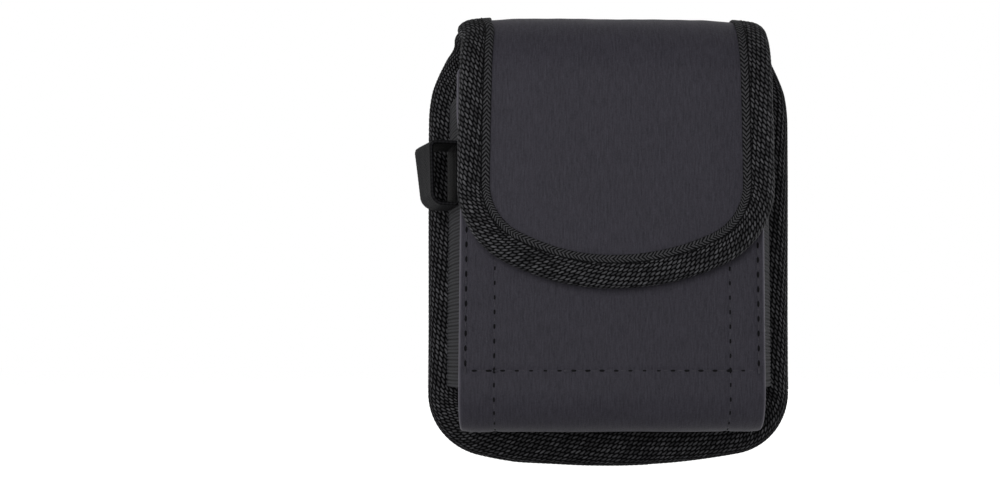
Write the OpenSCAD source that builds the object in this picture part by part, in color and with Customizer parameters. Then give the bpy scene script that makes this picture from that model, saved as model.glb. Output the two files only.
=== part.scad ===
// Belt holster for a folding phone
// A padded leatherette case worn upright on a belt. One padded strip makes the back, arches
// over the top and comes down the front as a round-ended flap. Woven tape binds its whole edge.
// The front panel turns under the bottom, ribbed elastic closes both sides, and a one-piece
// spring clip, a ring in a webbing tab and a small side loop are what it hangs from.
// X runs to the right of the front, Y from front to back, Z up. Millimetres.

/* [Case] */
// Width of the back over its binding
case_w = 88.4; // [86:0.2:100]
// Height from the bottom edge to the crown of the arch
case_h = 108; // [104:0.5:120]
// Thickness of the back, without its binding
back_t = 6.4; // [5.6:0.2:9]
// Free depth of the pocket, front to back
pocket_d = 19.6; // [15:0.2:26]
// Radius of the bottom corners of the back
corner_r = 15; // [8:0.5:20]
// Radius of the bowed bottom edge
bottom_bow_r = 180; // [120:5:400]
// Height at which the sides of the back start to draw in
shoulder_z = 79; // [70:0.5:82]

/* [Layers] */
// Thickness of the leatherette cover
cover_t = 1.2; // [0.8:0.1:1.6]
// Thickness of the lining
lining_t = 0.8; // [0.5:0.1:1.2]
// Thickness of the stiff board inside the back
board_t = 1.2; // [1:0.1:1.8]
// Distance from the edge of the back to the edge of the board
board_inset = 10; // [9:0.5:14]
// Play left between sewn layers
sew_gap = 0.05; // [0.03:0.01:0.1]

/* [Binding] */
// Width of the binding tape on each face
tape_w = 8; // [6:0.2:10]
// Thickness of the binding tape
tape_t = 0.8; // [0.5:0.1:1.1]

/* [Flap] */
// How much narrower the flap is than the back, on each side
flap_step = 7.8; // [5:0.1:9]
// Length of the flap below the crown
flap_drop = 66.2; // [56:0.5:80]
// Thickness of the flap, without its binding
flap_t = 3.5; // [3:0.1:5]
// Radius of the corners of the flap
flap_corner_r = 20; // [14:0.5:26]
// Radius of the bowed end of the flap
flap_bow_r = 60; // [50:1:120]
// Space between the closed flap and the front panel
flap_gap = 0.35; // [0.3:0.05:1]
// Opening left at the crown between the two halves of the arch
crown_gap = 0.35; // [0.3:0.05:0.6]

/* [Front panel] */
// How much narrower the front panel is than the flap, on each side
front_step = 0.9; // [0.8:0.1:3]
// Distance from the crown down to the top edge of the front panel
front_top_drop = 14.8; // [13:0.2:22]
// Height of the underside of the pocket above the bottom edge
front_z = 8.6; // [7:0.2:9]
// Thickness of the front panel
front_t = 2; // [1.8:0.1:2.6]
// Radius of the fold under the pocket
front_fold_r = 9.5; // [6:0.5:11]
// Rise of the underside towards the back, in degrees
front_rise = 5.5; // [3:0.5:7]
// Radius of the top corners of the front panel
front_corner_r = 1.7; // [1:0.1:3]
// Width of the folded margin round the lining
fold_w = 6; // [4:0.2:8]

/* [Gussets] */
// Height of the lower edge of the elastic above the bottom edge
gusset_z = 17.8; // [16:0.2:24]
// Distance from the crown down to the upper edge of the elastic
gusset_drop = 20.1; // [19:0.1:26]
// Number of ribs in the elastic
rib_count = 43; // [30:1:50]
// Thickness of the elastic between its ribs
gusset_t = 1.2; // [0.9:0.1:1.5]
// Height of a rib over the elastic
rib_h = 0.45; // [0.2:0.05:0.6]
// How far each gusset spreads outward from front to back
gusset_flare = 4.8; // [3:0.2:6]
// Width of the elastic sewn flat behind the front panel
gusset_hem_w = 4.2; // [3:0.2:6]

/* [Magnets] */
// Diameter of the magnet in the flap
magnet_d = 14; // [10:0.5:18]
// Height of the magnet above the end of the flap
magnet_up = 19; // [16:0.5:26]
// Thickness of the steel plate in the front panel
plate_t = 0.6; // [0.4:0.1:0.8]

/* [Back patch] */
// Width of the patch
patch_w = 34; // [31:0.5:40]
// Height of the lower edge of the patch above the bottom edge
patch_z = 20; // [16:0.5:24]
// Distance from the crown down to the top of the patch
patch_drop = 16.8; // [16:0.2:20]
// Thickness of the base patch
patch_t = 1.4; // [1.3:0.1:1.8]
// Distance from the top of the base patch down to the top of the cover patch
patch_step = 12; // [11:0.2:13]
// Thickness of the cover patch over the clip plate
patch_skin = 1; // [0.8:0.1:1.4]
// Radius of the corners of the patch
patch_corner_r = 1.2; // [0.5:0.1:3]

/* [Belt clip] */
// Width of the clip
clip_w = 24.4; // [22:0.2:28]
// Thickness of the spring steel
clip_t = 0.7; // [0.6:0.05:0.8]
// Distance from the inner plate out to the outer arm
clip_reach = 10.4; // [9.8:0.1:13]
// Radius of the two bends over the belt
clip_bend_r = 3.6; // [3:0.1:3.8]
// Length of the inner plate under the cover patch
plate_len = 37; // [32:0.5:40]
// Width of the window between the legs
window_w = 11.4; // [10.2:0.2:13]
// Distance from the top of the patch cover down to the end of the window
window_drop = 33.2; // [28:0.2:34]
// Distance from the top of the patch cover down to the pinch of the arm
pinch_drop = 44.9; // [42:0.1:47]
// Radius of the inward curve of the arm
arm_curve_r = 14; // [11:0.5:15]
// Length of the flared lip
lip_len = 7.4; // [5:0.2:9]
// Cut on the corners of the lip
lip_cut = 1.3; // [0.8:0.1:2]
// Rest gap between the arm and the patch
pinch_gap = 0.15; // [0.1:0.05:1]

/* [Rivets] */
// Diameter of a rivet cap
cap_d = 8; // [6.5:0.1:9]
// Height of a rivet cap
cap_h = 1; // [0.7:0.1:1.5]
// Diameter of a rivet post
post_d = 3.2; // [2.4:0.1:4]
// Distance from the top of the patch cover down to the upper rivet
rivet_drop = 11.2; // [9:0.2:13]
// Distance from rivet to rivet
rivet_pitch = 12.3; // [10.8:0.1:14]
// Diameter of the washers inside
washer_d = 9; // [7.5:0.1:10]
// Thickness of the washers
washer_t = 0.6; // [0.4:0.1:0.8]

/* [Ring and tab] */
// Outer width of the ring
ring_w = 15.6; // [13:0.2:20]
// Outer height of the ring
ring_h = 10.4; // [9.8:0.1:10.6]
// Thickness of the ring wire
wire_d = 1.6; // [1.3:0.1:1.7]
// Radius of the lower corners of the ring, at the middle of the wire
ring_corner_r = 1.1; // [1:0.05:1.4]
// Thickness of the webbing round the ring
web_t = 0.8; // [0.6:0.05:0.9]
// Length of the tab tucked under the patch
tab_tuck = 5; // [3:0.2:7]

/* [Side loop] */
// Distance from the crown down to the top of the loop
loop_drop = 31.2; // [29:0.2:44]
// Height of the loop
loop_h = 15.4; // [13:0.2:18]
// How far the loop stands off the elastic
loop_reach = 7.4; // [7:0.1:8]
// Width of the loop band
loop_w = 12.6; // [9:0.2:14]
// Thickness of the loop band
loop_t = 1; // [0.8:0.05:1.1]

/* [Hidden] */
$fn = 72;
// Play between moving pieces, and between a hard piece and its pocket
run_gap = 0.3;
seat_gap = 0.05;
// Reach of a cut past the surface that it opens
past = 1;

// Planes from back to front: the outer face of the back cover is y = 0
back_in = -back_t;
bound_in = back_in - tape_t;
front_in = bound_in - pocket_d;
front_out = front_in - front_t;
flap_in = front_out - flap_gap - tape_t;
flap_out = flap_in - flap_t;

// The arch: half a turn between the outer face of the flap and that of the back
arch_r = -flap_out / 2;
arch_y = flap_out / 2;
arch_z = case_h - tape_t - arch_r;
// Its inner side is a round over the flap, and a tighter one that meets the thicker back
front_round_r = arch_r - flap_t;
rear_round_r = arch_r - back_t;
rear_round_z = arch_z + front_round_r - rear_round_r;

// Outlines
half_w = case_w / 2;
flap_half = half_w - flap_step;
shoulder_sag = flap_step;
shoulder_rise = case_h - shoulder_z;
shoulder_r = (pow(shoulder_rise, 2) + pow(shoulder_sag, 2)) / (2 * shoulder_sag);
flap_tip = case_h - flap_drop;
front_top = case_h - front_top_drop;
front_half = flap_half - front_step;
front_w = 2 * front_half;

// Patch, clip and rivets, outward from the back cover
patch_top = case_h - patch_drop;
slit_z = patch_top - patch_step;
plate_y = patch_t + clip_t / 2;
patch_out = patch_t + clip_t + patch_skin;
arm_y = plate_y + clip_reach;
bend_z = slit_z - 0.4;
clip_top = bend_z + clip_bend_r - clip_t / 2;
pinch = [patch_out + pinch_gap + clip_t / 2, slit_z - pinch_drop];
rivet_zs = [slit_z - rivet_drop, slit_z - rivet_drop - rivet_pitch];
board_y = back_in + lining_t;

// Ring
wire_r = wire_d / 2;
tab_out_r = wire_r + run_gap + web_t;
ring_y = tab_out_r + seat_gap;
ring_z = patch_top + tab_out_r + 0.1;
ring_mid_r = ring_w / 2 - wire_r;
ring_arc_z = ring_h - wire_r - ring_w / 2;
tab_w = 2 * (ring_mid_r - wire_r - run_gap) - 0.6;

// Gussets
gusset_h = case_h - gusset_drop - gusset_z;
rib_pitch = gusset_h / rib_count;
gusset_turn = atan(gusset_flare / pocket_d);
gusset_root = front_half - 0.5;
gusset_run = pocket_d / cos(gusset_turn);

// The belt's upper edge hangs in the clip here, and here the part has its origin
hang = [0, (plate_y + arm_y) / 2, clip_top];

// Points round an arc
function arc(c, r, from, to, steps = 12) =
    [for (i = [0:steps]) c + r * [cos(from + (to - from) * i / steps),
                                  sin(from + (to - from) * i / steps)]];

// Unit vector from one point to the next
function heading(a, b) = (b - a) / norm(b - a);

// Point of a path moved sideways by d, with a mitre where the path turns
function beside(p, i, d) =
    let (last = len(p) - 1,
         u = heading(p[max(i - 1, 0)], p[max(i, 1)]),
         v = heading(p[min(i, last - 1)], p[min(i + 1, last)]),
         m = heading([0, 0], u + v))
    p[i] + d / (m * u) * [-m[1], m[0]];

// Outline of a strip that follows a path, from one sideways distance to another
function strip(p, d0, d1) =
    concat([for (i = [0:len(p) - 1]) beside(p, i, d0)],
           [for (i = [len(p) - 1:-1:0]) beside(p, i, d1)]);

// Places the case frame so that the origin is at the hanging point
module place() {
    translate(-hang)
        children();
}

// A side profile in Y and Z, drawn out along X over the given width
module across(w) {
    rotate([90, 0, 90])
        translate([0, 0, -w / 2])
            linear_extrude(w)
                children();
}

// A front outline in X and Z, drawn out along Y from one plane to another
module through(y0, y1) {
    translate([0, y1, 0])
        rotate([90, 0, 0])
            linear_extrude(y1 - y0)
                children();
}

module both_sides() {
    children();
    mirror([1, 0, 0])
        children();
}

// Rectangle with round corners
module round_rect(x0, z0, w, h, r) {
    translate([x0 + r, z0])
        square([w - 2 * r, h]);
    translate([x0, z0 + r])
        square([w, h - 2 * r]);
    for (x = [x0 + r, x0 + w - r], z = [z0 + r, z0 + h - r])
        translate([x, z])
            circle(r);
}

// Round-cornered, bowed lower end that the back and the flap share
module bowed_end(half, z0, r, bow, top) {
    cx = half - r;
    cz = z0 + bow - sqrt(pow(bow - r, 2) - pow(cx, 2));
    union() {
        intersection() {
            translate([0, z0 + bow])
                circle(bow, $fn = 360);
            translate([-cx, z0 - past])
                square([2 * cx, cz - z0 + past]);
        }
        for (s = [-1, 1])
            translate([s * cx, cz])
                circle(r);
        translate([-half, cz])
            square([2 * half, top - cz]);
        // Fillet wedges between the bow and the corner rounds
        for (s = [-1, 1])
            intersection() {
                translate([0, z0 + bow])
                    circle(bow, $fn = 360);
                polygon([[s * cx, cz], [s * cx, z0 - past],
                         [s * cx * bow / (bow - r), z0 + bow - (z0 + bow - cz) * bow / (bow - r)]]);
            }
    }
}

// Outline of the back, drawn in by the given distance
module back_outline(inset) {
    intersection() {
        bowed_end(half_w - inset, inset, corner_r - inset, bottom_bow_r - inset, case_h + past);
        union() {
            translate([-case_w, -past])
                square([2 * case_w, shoulder_z + past]);
            intersection_for(s = [-1, 1])
                translate([s * (half_w - shoulder_r), shoulder_z])
                    circle(shoulder_r - inset, $fn = 180);
        }
    }
}

// Outline of the flap, drawn in by the given distance
module flap_outline(inset) {
    bowed_end(flap_half - inset, flap_tip + inset, flap_corner_r - inset, flap_bow_r - inset,
              case_h + past);
}

// Everything behind the crown and inside the outer face, which is moved in by d
module rear_outer(d) {
    intersection() {
        translate([arch_y, arch_z])
            circle(arch_r - d, $fn = 120);
        translate([arch_y + crown_gap / 2, arch_z])
            square([arch_r + past, arch_r + past]);
    }
    translate([arch_y + crown_gap / 2, -past])
        square([arch_r - d - crown_gap / 2, arch_z + past]);
}

// Everything behind the crown and inside the inner face, which is moved in by d
module rear_inner(d) {
    translate([arch_y, rear_round_z])
        circle(rear_round_r - d, $fn = 120);
    translate([arch_y - arch_r, -2 * past])
        square([arch_r + rear_round_r - d, rear_round_z + 2 * past]);
}

// Everything before the crown and inside the outer face, which is moved in by d
module fore_outer(d) {
    intersection() {
        translate([arch_y, arch_z])
            circle(arch_r - d, $fn = 120);
        translate([arch_y - crown_gap / 2 - arch_r - past, arch_z])
            square([arch_r + past, arch_r + past]);
    }
    translate([arch_y - arch_r + d, -past])
        square([arch_r - d - crown_gap / 2, arch_z + past]);
}

// Everything before the crown and inside the inner face, which is moved in by d
module fore_inner(d) {
    translate([arch_y, arch_z])
        circle(front_round_r - d, $fn = 120);
    translate([arch_y - front_round_r + d, -2 * past])
        square([arch_r + front_round_r, arch_z + 2 * past]);
}

// One layer of the back, between two side profiles and inside an outline
module rear_layer(inset, d_out, d_in) {
    intersection() {
        across(case_w)
            difference() {
                rear_outer(d_out);
                rear_inner(d_in);
            }
        through(arch_y, past)
            back_outline(inset);
    }
}

// One layer of the flap
module fore_layer(inset, d_out, d_in) {
    intersection() {
        across(case_w)
            difference() {
                fore_outer(d_out);
                fore_inner(d_in);
            }
        through(flap_out - past, arch_y)
            flap_outline(inset);
    }
}

// Distance from an inner face back to the depth that is measured from the outer face
core_inset = tape_t + sew_gap;
// The middle of the foam stops this far inside the lining's outer face
foam_in = -(lining_t + sew_gap);

// The two rivets' places along Y
module at_rivets() {
    for (z = rivet_zs)
        translate([0, 0, z])
            rotate([-90, 0, 0])
                children();
}

module rivet_bores(y0, y1, extra) {
    at_rivets()
        translate([0, 0, y0])
            cylinder(h = y1 - y0, d = post_d + 2 * extra, $fn = 48);
}

module back_cover() {
    color("#37353c")
        place()
            difference() {
                intersection() {
                    across(case_w)
                        difference() {
                            rear_outer(0);
                            rear_outer_cut(cover_t);
                        }
                    through(arch_y, past)
                        back_outline(core_inset);
                }
                rivet_bores(-cover_t - past, past, seat_gap);
            }
}

// The same form as rear_outer, carried past the crown and the bottom edge to cut with
module rear_outer_cut(d) {
    translate([arch_y, arch_z])
        circle(arch_r - d, $fn = 120);
    translate([arch_y - arch_r, -2 * past])
        square([2 * arch_r - d, arch_z + 2 * past]);
}

// The same form as fore_outer, carried past the crown and the end of the flap to cut with
module fore_outer_cut(d) {
    translate([arch_y, arch_z])
        circle(arch_r - d, $fn = 120);
    translate([arch_y - arch_r + d, -2 * past])
        square([2 * arch_r, arch_z + 2 * past]);
}

module board_outline(extra) {
    round_rect(-half_w + board_inset - extra, board_inset - extra,
               case_w - 2 * board_inset + 2 * extra,
               arch_z - board_inset - 2 + 2 * extra, corner_r / 2);
}

module back_padding() {
    color("#1f1f22")
        place()
            difference() {
                rear_layer(core_inset, cover_t + sew_gap, foam_in);
                through(board_y - past, board_y + board_t + sew_gap)
                    board_outline(sew_gap);
                rivet_bores(back_in, past, seat_gap);
            }
}

module back_board() {
    color("#8a7458")
        place()
            difference() {
                through(board_y, board_y + board_t)
                    board_outline(0);
                rivet_bores(board_y - past, board_y + board_t + past, seat_gap);
                at_rivets()
                    translate([0, 0, board_y - past])
                        cylinder(h = past + washer_t, d = washer_d + 2 * seat_gap, $fn = 60);
            }
}

module back_lining() {
    color("#26262a")
        place()
            intersection() {
                across(case_w)
                    intersection() {
                        difference() {
                            rear_inner(-lining_t);
                            rear_inner(0);
                        }
                        rear_outer(0);
                    }
                through(arch_y, past)
                    back_outline(core_inset);
            }
}

// Binding of an edge: a channel that grips the layers from both faces and round the edge
module back_binding() {
    color("#2b2b2e")
        place()
            difference() {
                intersection() {
                    across(case_w + 2 * past)
                        difference() {
                            rear_outer(-tape_t);
                            rear_inner(tape_t);
                        }
                    through(arch_y, past)
                        back_outline(0);
                }
                through(arch_y - past, 2 * past)
                    back_outline(tape_w);
                intersection() {
                    across(case_w + 4 * past)
                        difference() {
                            rear_outer_cut(-sew_gap);
                            rear_inner(sew_gap);
                        }
                    through(arch_y - past, 2 * past)
                        back_outline(tape_t);
                }
            }
}

module flap_cover() {
    color("#37353c")
        place()
            intersection() {
                across(case_w)
                    difference() {
                        fore_outer(0);
                        fore_outer_cut(cover_t);
                    }
                through(flap_out - past, arch_y)
                    flap_outline(core_inset);
            }
}

magnet_z = flap_tip + magnet_up;
magnet_t = flap_t - cover_t - lining_t - 2 * sew_gap;

module flap_padding() {
    color("#1f1f22")
        place()
            difference() {
                fore_layer(core_inset, cover_t + sew_gap, foam_in);
                translate([0, flap_in, magnet_z])
                    rotate([90, 0, 0])
                        cylinder(h = flap_t, d = magnet_d + 2 * seat_gap);
            }
}

module flap_magnet() {
    color("#9a9a9e")
        place()
            translate([0, flap_in - lining_t - sew_gap, magnet_z])
                rotate([90, 0, 0])
                    cylinder(h = magnet_t, d = magnet_d);
}

module flap_lining() {
    color("#26262a")
        place()
            intersection() {
                across(case_w)
                    intersection() {
                        difference() {
                            fore_inner(-lining_t);
                            fore_inner(0);
                        }
                        fore_outer(0);
                    }
                through(flap_out - past, arch_y)
                    flap_outline(core_inset);
            }
}

module flap_binding() {
    color("#2b2b2e")
        place()
            difference() {
                intersection() {
                    across(case_w)
                        difference() {
                            fore_outer(-tape_t);
                            fore_inner(tape_t);
                        }
                    through(flap_out - past, arch_y)
                        flap_outline(0);
                }
                through(flap_out - 2 * past, arch_y + past)
                    flap_outline(tape_w);
                intersection() {
                    across(case_w)
                        difference() {
                            fore_outer_cut(-sew_gap);
                            fore_inner(sew_gap);
                        }
                    through(flap_out - 2 * past, arch_y + past)
                        flap_outline(tape_t);
                }
            }
}

// Outer face of the front panel from its top edge down, round the fold and back to the seam
fold_c = [front_out + front_fold_r, front_z + front_fold_r];
fold_end = fold_c + front_fold_r * [sin(front_rise), -cos(front_rise)];
under_len = (bound_in - fold_end[0]) / cos(front_rise);
function front_path(top) =
    concat([[front_out, top]],
           arc(fold_c, front_fold_r, 180, 270 + front_rise),
           [fold_end + (under_len + past) * [cos(front_rise), sin(front_rise)]]);

// A layer of the front panel, between two depths below its outer face
module front_layer(w, top, corner, d0, d1) {
    intersection() {
        across(w)
            polygon(strip(front_path(top), d0, d1));
        through(front_out - past, bound_in)
            union() {
                round_rect(-w / 2, front_z - past, w, top - front_z + past, corner);
                translate([-w / 2, front_z - past])
                    square([w, front_fold_r]);
            }
    }
}

// The leatherette is folded over at the sides and the top, so its margin has the full thickness
module front_cover() {
    color("#302f34")
        place()
            difference() {
                front_layer(front_w, front_top, front_corner_r, 0, front_t);
                front_layer(front_w - 2 * fold_w + 2 * sew_gap, front_top - fold_w + sew_gap,
                            front_corner_r, front_t - lining_t - sew_gap, front_t + past);
                translate([0, front_in - lining_t, magnet_z])
                    rotate([90, 0, 0])
                        cylinder(h = plate_t + seat_gap, d = magnet_d + 2 * seat_gap);
            }
}

module front_lining() {
    color("#26262a")
        place()
            front_layer(front_w - 2 * fold_w, front_top - fold_w, front_corner_r,
                        front_t - lining_t, front_t);
}

module front_plate() {
    color("#8f8f93")
        place()
            translate([0, front_in - lining_t - sew_gap, magnet_z])
                rotate([90, 0, 0])
                    cylinder(h = plate_t, d = magnet_d);
}

// Cross-section of the elastic: a band with a rounded rib in each pitch
rib_steps = 4;
function rib_profile() =
    concat([[-gusset_t, 0]],
           [for (i = [0:rib_count - 1], k = [0:rib_steps])
               [rib_h * (k == 0 || k == rib_steps ? 0 : sin(180 * k / rib_steps)),
                (i + 0.08 + 0.84 * k / rib_steps) * rib_pitch]],
           [[-gusset_t, gusset_h]]);

// The right-hand elastic side: ribbed outside, sewn flat behind the front panel at its hem
module gusset() {
    intersection() {
        translate([gusset_root - rib_h, front_in, gusset_z])
            rotate([0, 0, -gusset_turn])
                translate([0, -past, 0])
                    rotate([90, 0, 0])
                        translate([0, 0, -gusset_run - 2 * past])
                            linear_extrude(gusset_run + 3 * past)
                                polygon(rib_profile());
        translate([0, front_in, 0])
            cube([case_w, pocket_d, case_h]);
    }
    translate([gusset_root - rib_h - gusset_hem_w, front_in, gusset_z])
        cube([gusset_hem_w - gusset_t / 2, gusset_t, gusset_h]);
}

module right_gusset() {
    color("#4a4a4d")
        place()
            gusset();
}

module left_gusset() {
    color("#4a4a4d")
        place()
            mirror([1, 0, 0])
                gusset();
}

// Base patch, sewn to the back. The ring's tab is tucked under its top edge
module patch_base() {
    color("#302f34")
        place()
            difference() {
                through(0, patch_t)
                    round_rect(-patch_w / 2, patch_z, patch_w, patch_top - patch_z,
                               patch_corner_r);
                rivet_bores(-past, patch_t + past, seat_gap);
                translate([-tab_w / 2 - seat_gap, -past, patch_top - tab_tuck - seat_gap])
                    cube([tab_w + 2 * seat_gap, past + web_t + 2 * seat_gap, tab_tuck + past]);
            }
}

// Cover patch: it lies over the clip's inner plate, so it is hollowed by the plate's form
module patch_cover() {
    color("#37353c")
        place()
            difference() {
                through(patch_t, patch_out)
                    round_rect(-patch_w / 2, patch_z, patch_w, slit_z - patch_z, patch_corner_r);
                translate([-clip_w / 2 - seat_gap, 0, slit_z - plate_len - seat_gap])
                    cube([clip_w + 2 * seat_gap, patch_t + clip_t + seat_gap,
                          plate_len + past]);
                rivet_bores(0, patch_out + past, seat_gap);
            }
}

// Middle line of the clip's strip: up the plate, over the two bends, down the arm to the
// pinch, and out along the lip
arm_lean = 4.9;
pinch_turn = 48;
pinch_straight = 1.5;
lip_turn = 26;
clip_steps = 14;
arm_end = pinch + pinch_straight * [sin(pinch_turn), cos(pinch_turn)];
curve_c = arm_end - arm_curve_r * [cos(pinch_turn), -sin(pinch_turn)];
clip_path = concat(
    [[plate_y, slit_z - plate_len]],
    arc([plate_y + clip_bend_r, bend_z], clip_bend_r, 180, 90, clip_steps),
    arc([arm_y - clip_bend_r, bend_z], clip_bend_r, 90, -arm_lean, clip_steps),
    arc(curve_c, arm_curve_r, -arm_lean, -pinch_turn, clip_steps),
    [pinch, pinch + lip_len * [sin(lip_turn), -cos(lip_turn)]]);
lip_z = pinch[1] - lip_len * cos(lip_turn);

module belt_clip() {
    color("#17171a")
        place()
            difference() {
                across(clip_w)
                    polygon(strip(clip_path, -clip_t / 2, clip_t / 2));
                // Window of the outer arm, with a round lower end
                through(patch_out, arm_y + clip_reach)
                    union() {
                        translate([0, slit_z - window_drop + window_w / 2])
                            circle(d = window_w);
                        translate([-window_w / 2, slit_z - window_drop + window_w / 2])
                            square([window_w, clip_top]);
                    }
                // The window goes on over the bends and a little way down the plate
                translate([-window_w / 2, 0, slit_z - 3])
                    cube([window_w, arm_y, clip_top]);
                // Cut corners of the lip
                for (s = [-1, 1])
                    translate([s * clip_w / 2, pinch[0], lip_z])
                        rotate([0, 45, 0])
                            cube([lip_cut * sqrt(2), 4 * clip_reach, lip_cut * sqrt(2)],
                                 center = true);
                rivet_bores(0, patch_out, seat_gap);
            }
}

// A domed cap on a post that goes through the patches, the clip plate and the board
module rivets() {
    dome_r = (pow(cap_d / 2, 2) + pow(cap_h, 2)) / (2 * cap_h);
    color("#1d1d20")
        place()
            at_rivets() {
                translate([0, 0, patch_out + seat_gap])
                    intersection() {
                        translate([0, 0, cap_h - dome_r])
                            sphere(dome_r);
                        cylinder(h = cap_h + past, d = cap_d + past);
                    }
                translate([0, 0, board_y + seat_gap])
                    cylinder(h = patch_out - board_y + 0.2, d = post_d, $fn = 48);
            }
}

module rivet_washers() {
    color("#77777a")
        place()
            at_rivets()
                translate([0, 0, board_y])
                    difference() {
                        cylinder(h = washer_t - seat_gap, d = washer_d, $fn = 60);
                        translate([0, 0, -past])
                            cylinder(h = washer_t + 2 * past, d = post_d + 2 * seat_gap, $fn = 48);
                    }
}

// Webbing folded round the ring's straight bar, its tail under the patch
module ring_tab() {
    color("#242427")
        place()
            difference() {
                union() {
                    translate([-tab_w / 2, ring_y, ring_z])
                        rotate([0, 90, 0])
                            cylinder(h = tab_w, r = tab_out_r, $fn = 48);
                    translate([-tab_w / 2, seat_gap, patch_top - tab_tuck])
                        cube([tab_w, web_t, ring_z - patch_top + tab_tuck]);
                }
                translate([-tab_w, ring_y, ring_z])
                    rotate([0, 90, 0])
                        cylinder(h = 2 * tab_w, r = wire_r + run_gap, $fn = 48);
            }
}

// Quarter or half turn of the ring's wire about the Y axis
module wire_turn(r, from, sweep) {
    rotate([90, 0, 0])
        rotate([0, 0, from])
            rotate_extrude(angle = sweep, $fn = 72)
                translate([r, 0])
                    circle(wire_r, $fn = 32);
}

module d_ring() {
    color("#b9b9bd")
        place()
            translate([0, ring_y, ring_z]) {
                translate([ring_corner_r - ring_mid_r, 0, 0])
                    rotate([0, 90, 0])
                        cylinder(h = 2 * (ring_mid_r - ring_corner_r), r = wire_r, $fn = 32);
                translate([0, 0, ring_arc_z])
                    wire_turn(ring_mid_r, 0, 180);
                both_sides() {
                    translate([ring_mid_r - ring_corner_r, 0, ring_corner_r])
                        wire_turn(ring_corner_r, 270, 90);
                    translate([ring_mid_r, 0, ring_corner_r])
                        cylinder(h = ring_arc_z - ring_corner_r, r = wire_r, $fn = 32);
                }
            }
}

// Middle line of the side loop's band, closed against the elastic
loop_lean = 0.4;
loop_corner_r = 1.2;
loop_low_r = 2.6;
loop_u0 = seat_gap + loop_t / 2;
loop_u1 = loop_reach - loop_t / 2;
module loop_form(d) {
    u0 = loop_u0 + d;
    u1 = loop_u1 - d;
    z0 = loop_t / 2 + d;
    z1 = loop_h - loop_t / 2 - d;
    polygon(concat(
        [[u0, z0], [u0, z1]],
        arc([u1 - loop_corner_r + d, z1 - loop_corner_r + d], loop_corner_r - d, 90, 0, 4),
        arc([u1 - loop_lean - loop_low_r + d, z0 + loop_low_r - d], loop_low_r - d, 0, -90, 6)));
}

module side_loop() {
    color("#2b2b2e")
        place()
            mirror([1, 0, 0])
                translate([gusset_root, front_in, case_h - loop_drop - loop_h])
                    rotate([0, 0, -gusset_turn])
                        translate([0, gusset_run / 2 + loop_w / 2 - 0.6, 0])
                            rotate([90, 0, 0])
                                linear_extrude(loop_w)
                                    difference() {
                                        loop_form(-loop_t / 2);
                                        loop_form(loop_t / 2);
                                    }
}

back_cover();
back_padding();
back_board();
back_lining();
back_binding();
flap_cover();
flap_padding();
flap_lining();
flap_binding();
flap_magnet();
front_cover();
front_lining();
front_plate();
left_gusset();
right_gusset();
patch_base();
patch_cover();
belt_clip();
rivets();
rivet_washers();
ring_tab();
d_ring();
side_loop();
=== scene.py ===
"""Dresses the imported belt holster: leatherette, twill tape, ribbed elastic, webbing and metal."""

import logging
import math
from contextlib import contextmanager
from dataclasses import dataclass
from enum import Enum
from functools import cache
from typing import Callable, Iterator, Protocol, Sequence

import bpy
import numpy as np
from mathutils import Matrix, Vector


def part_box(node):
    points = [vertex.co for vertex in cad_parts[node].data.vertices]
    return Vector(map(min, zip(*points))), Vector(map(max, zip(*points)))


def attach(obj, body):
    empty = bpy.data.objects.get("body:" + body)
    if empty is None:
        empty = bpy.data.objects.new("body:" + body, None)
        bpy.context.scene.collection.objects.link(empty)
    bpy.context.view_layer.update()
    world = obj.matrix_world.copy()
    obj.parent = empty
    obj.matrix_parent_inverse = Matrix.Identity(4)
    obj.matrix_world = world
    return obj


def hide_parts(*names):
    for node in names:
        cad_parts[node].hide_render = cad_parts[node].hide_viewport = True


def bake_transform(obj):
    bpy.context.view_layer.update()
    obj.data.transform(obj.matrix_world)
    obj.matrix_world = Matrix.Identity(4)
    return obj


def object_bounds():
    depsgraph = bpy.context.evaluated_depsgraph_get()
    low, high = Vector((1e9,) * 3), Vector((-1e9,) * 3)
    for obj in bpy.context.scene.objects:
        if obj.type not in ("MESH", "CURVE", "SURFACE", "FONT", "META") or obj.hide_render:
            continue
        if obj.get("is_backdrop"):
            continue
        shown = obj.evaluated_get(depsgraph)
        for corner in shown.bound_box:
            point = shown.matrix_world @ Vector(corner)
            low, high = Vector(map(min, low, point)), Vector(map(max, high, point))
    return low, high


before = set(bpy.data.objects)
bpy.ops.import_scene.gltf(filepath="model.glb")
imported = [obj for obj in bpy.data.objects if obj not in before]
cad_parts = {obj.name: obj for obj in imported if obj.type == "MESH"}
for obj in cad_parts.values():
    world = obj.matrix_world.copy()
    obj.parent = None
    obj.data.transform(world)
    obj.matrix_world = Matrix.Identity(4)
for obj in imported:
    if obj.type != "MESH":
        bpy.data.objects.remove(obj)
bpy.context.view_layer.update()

LOG = logging.getLogger("holster")
MM = 0.001
# The case frame has its zero at the back's outer face and lower edge, and counts in millimetres
CASE_ZERO = Vector((0.0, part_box("back_cover")[1][1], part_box("back_binding")[0][2]))


class Slot(Enum):
    """Material slots of the record."""

    LEATHERETTE = "leatherette"
    FOAM = "foam"
    BOARD = "board"
    LINING = "lining"
    TAPE = "binding_tape"
    ELASTIC = "elastic"
    WEBBING = "webbing"
    BLACK_STEEL = "black_steel"
    BARE_STEEL = "bare_steel"
    NICKEL = "nickel"


class Body(Enum):
    """Bodies of the record."""

    CASE = "case"
    FLAP = "flap"
    RING = "ring"


def case_box(node: str) -> tuple[np.ndarray, np.ndarray]:
    """Box of a CAD node in the case frame.

    Args:
        node: name of the node.

    Returns:
        Its lowest and highest corner, in millimetres.
    """
    low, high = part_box(node)
    zero = np.array(CASE_ZERO)
    return (np.array(low) - zero) / MM, (np.array(high) - zero) / MM


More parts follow.
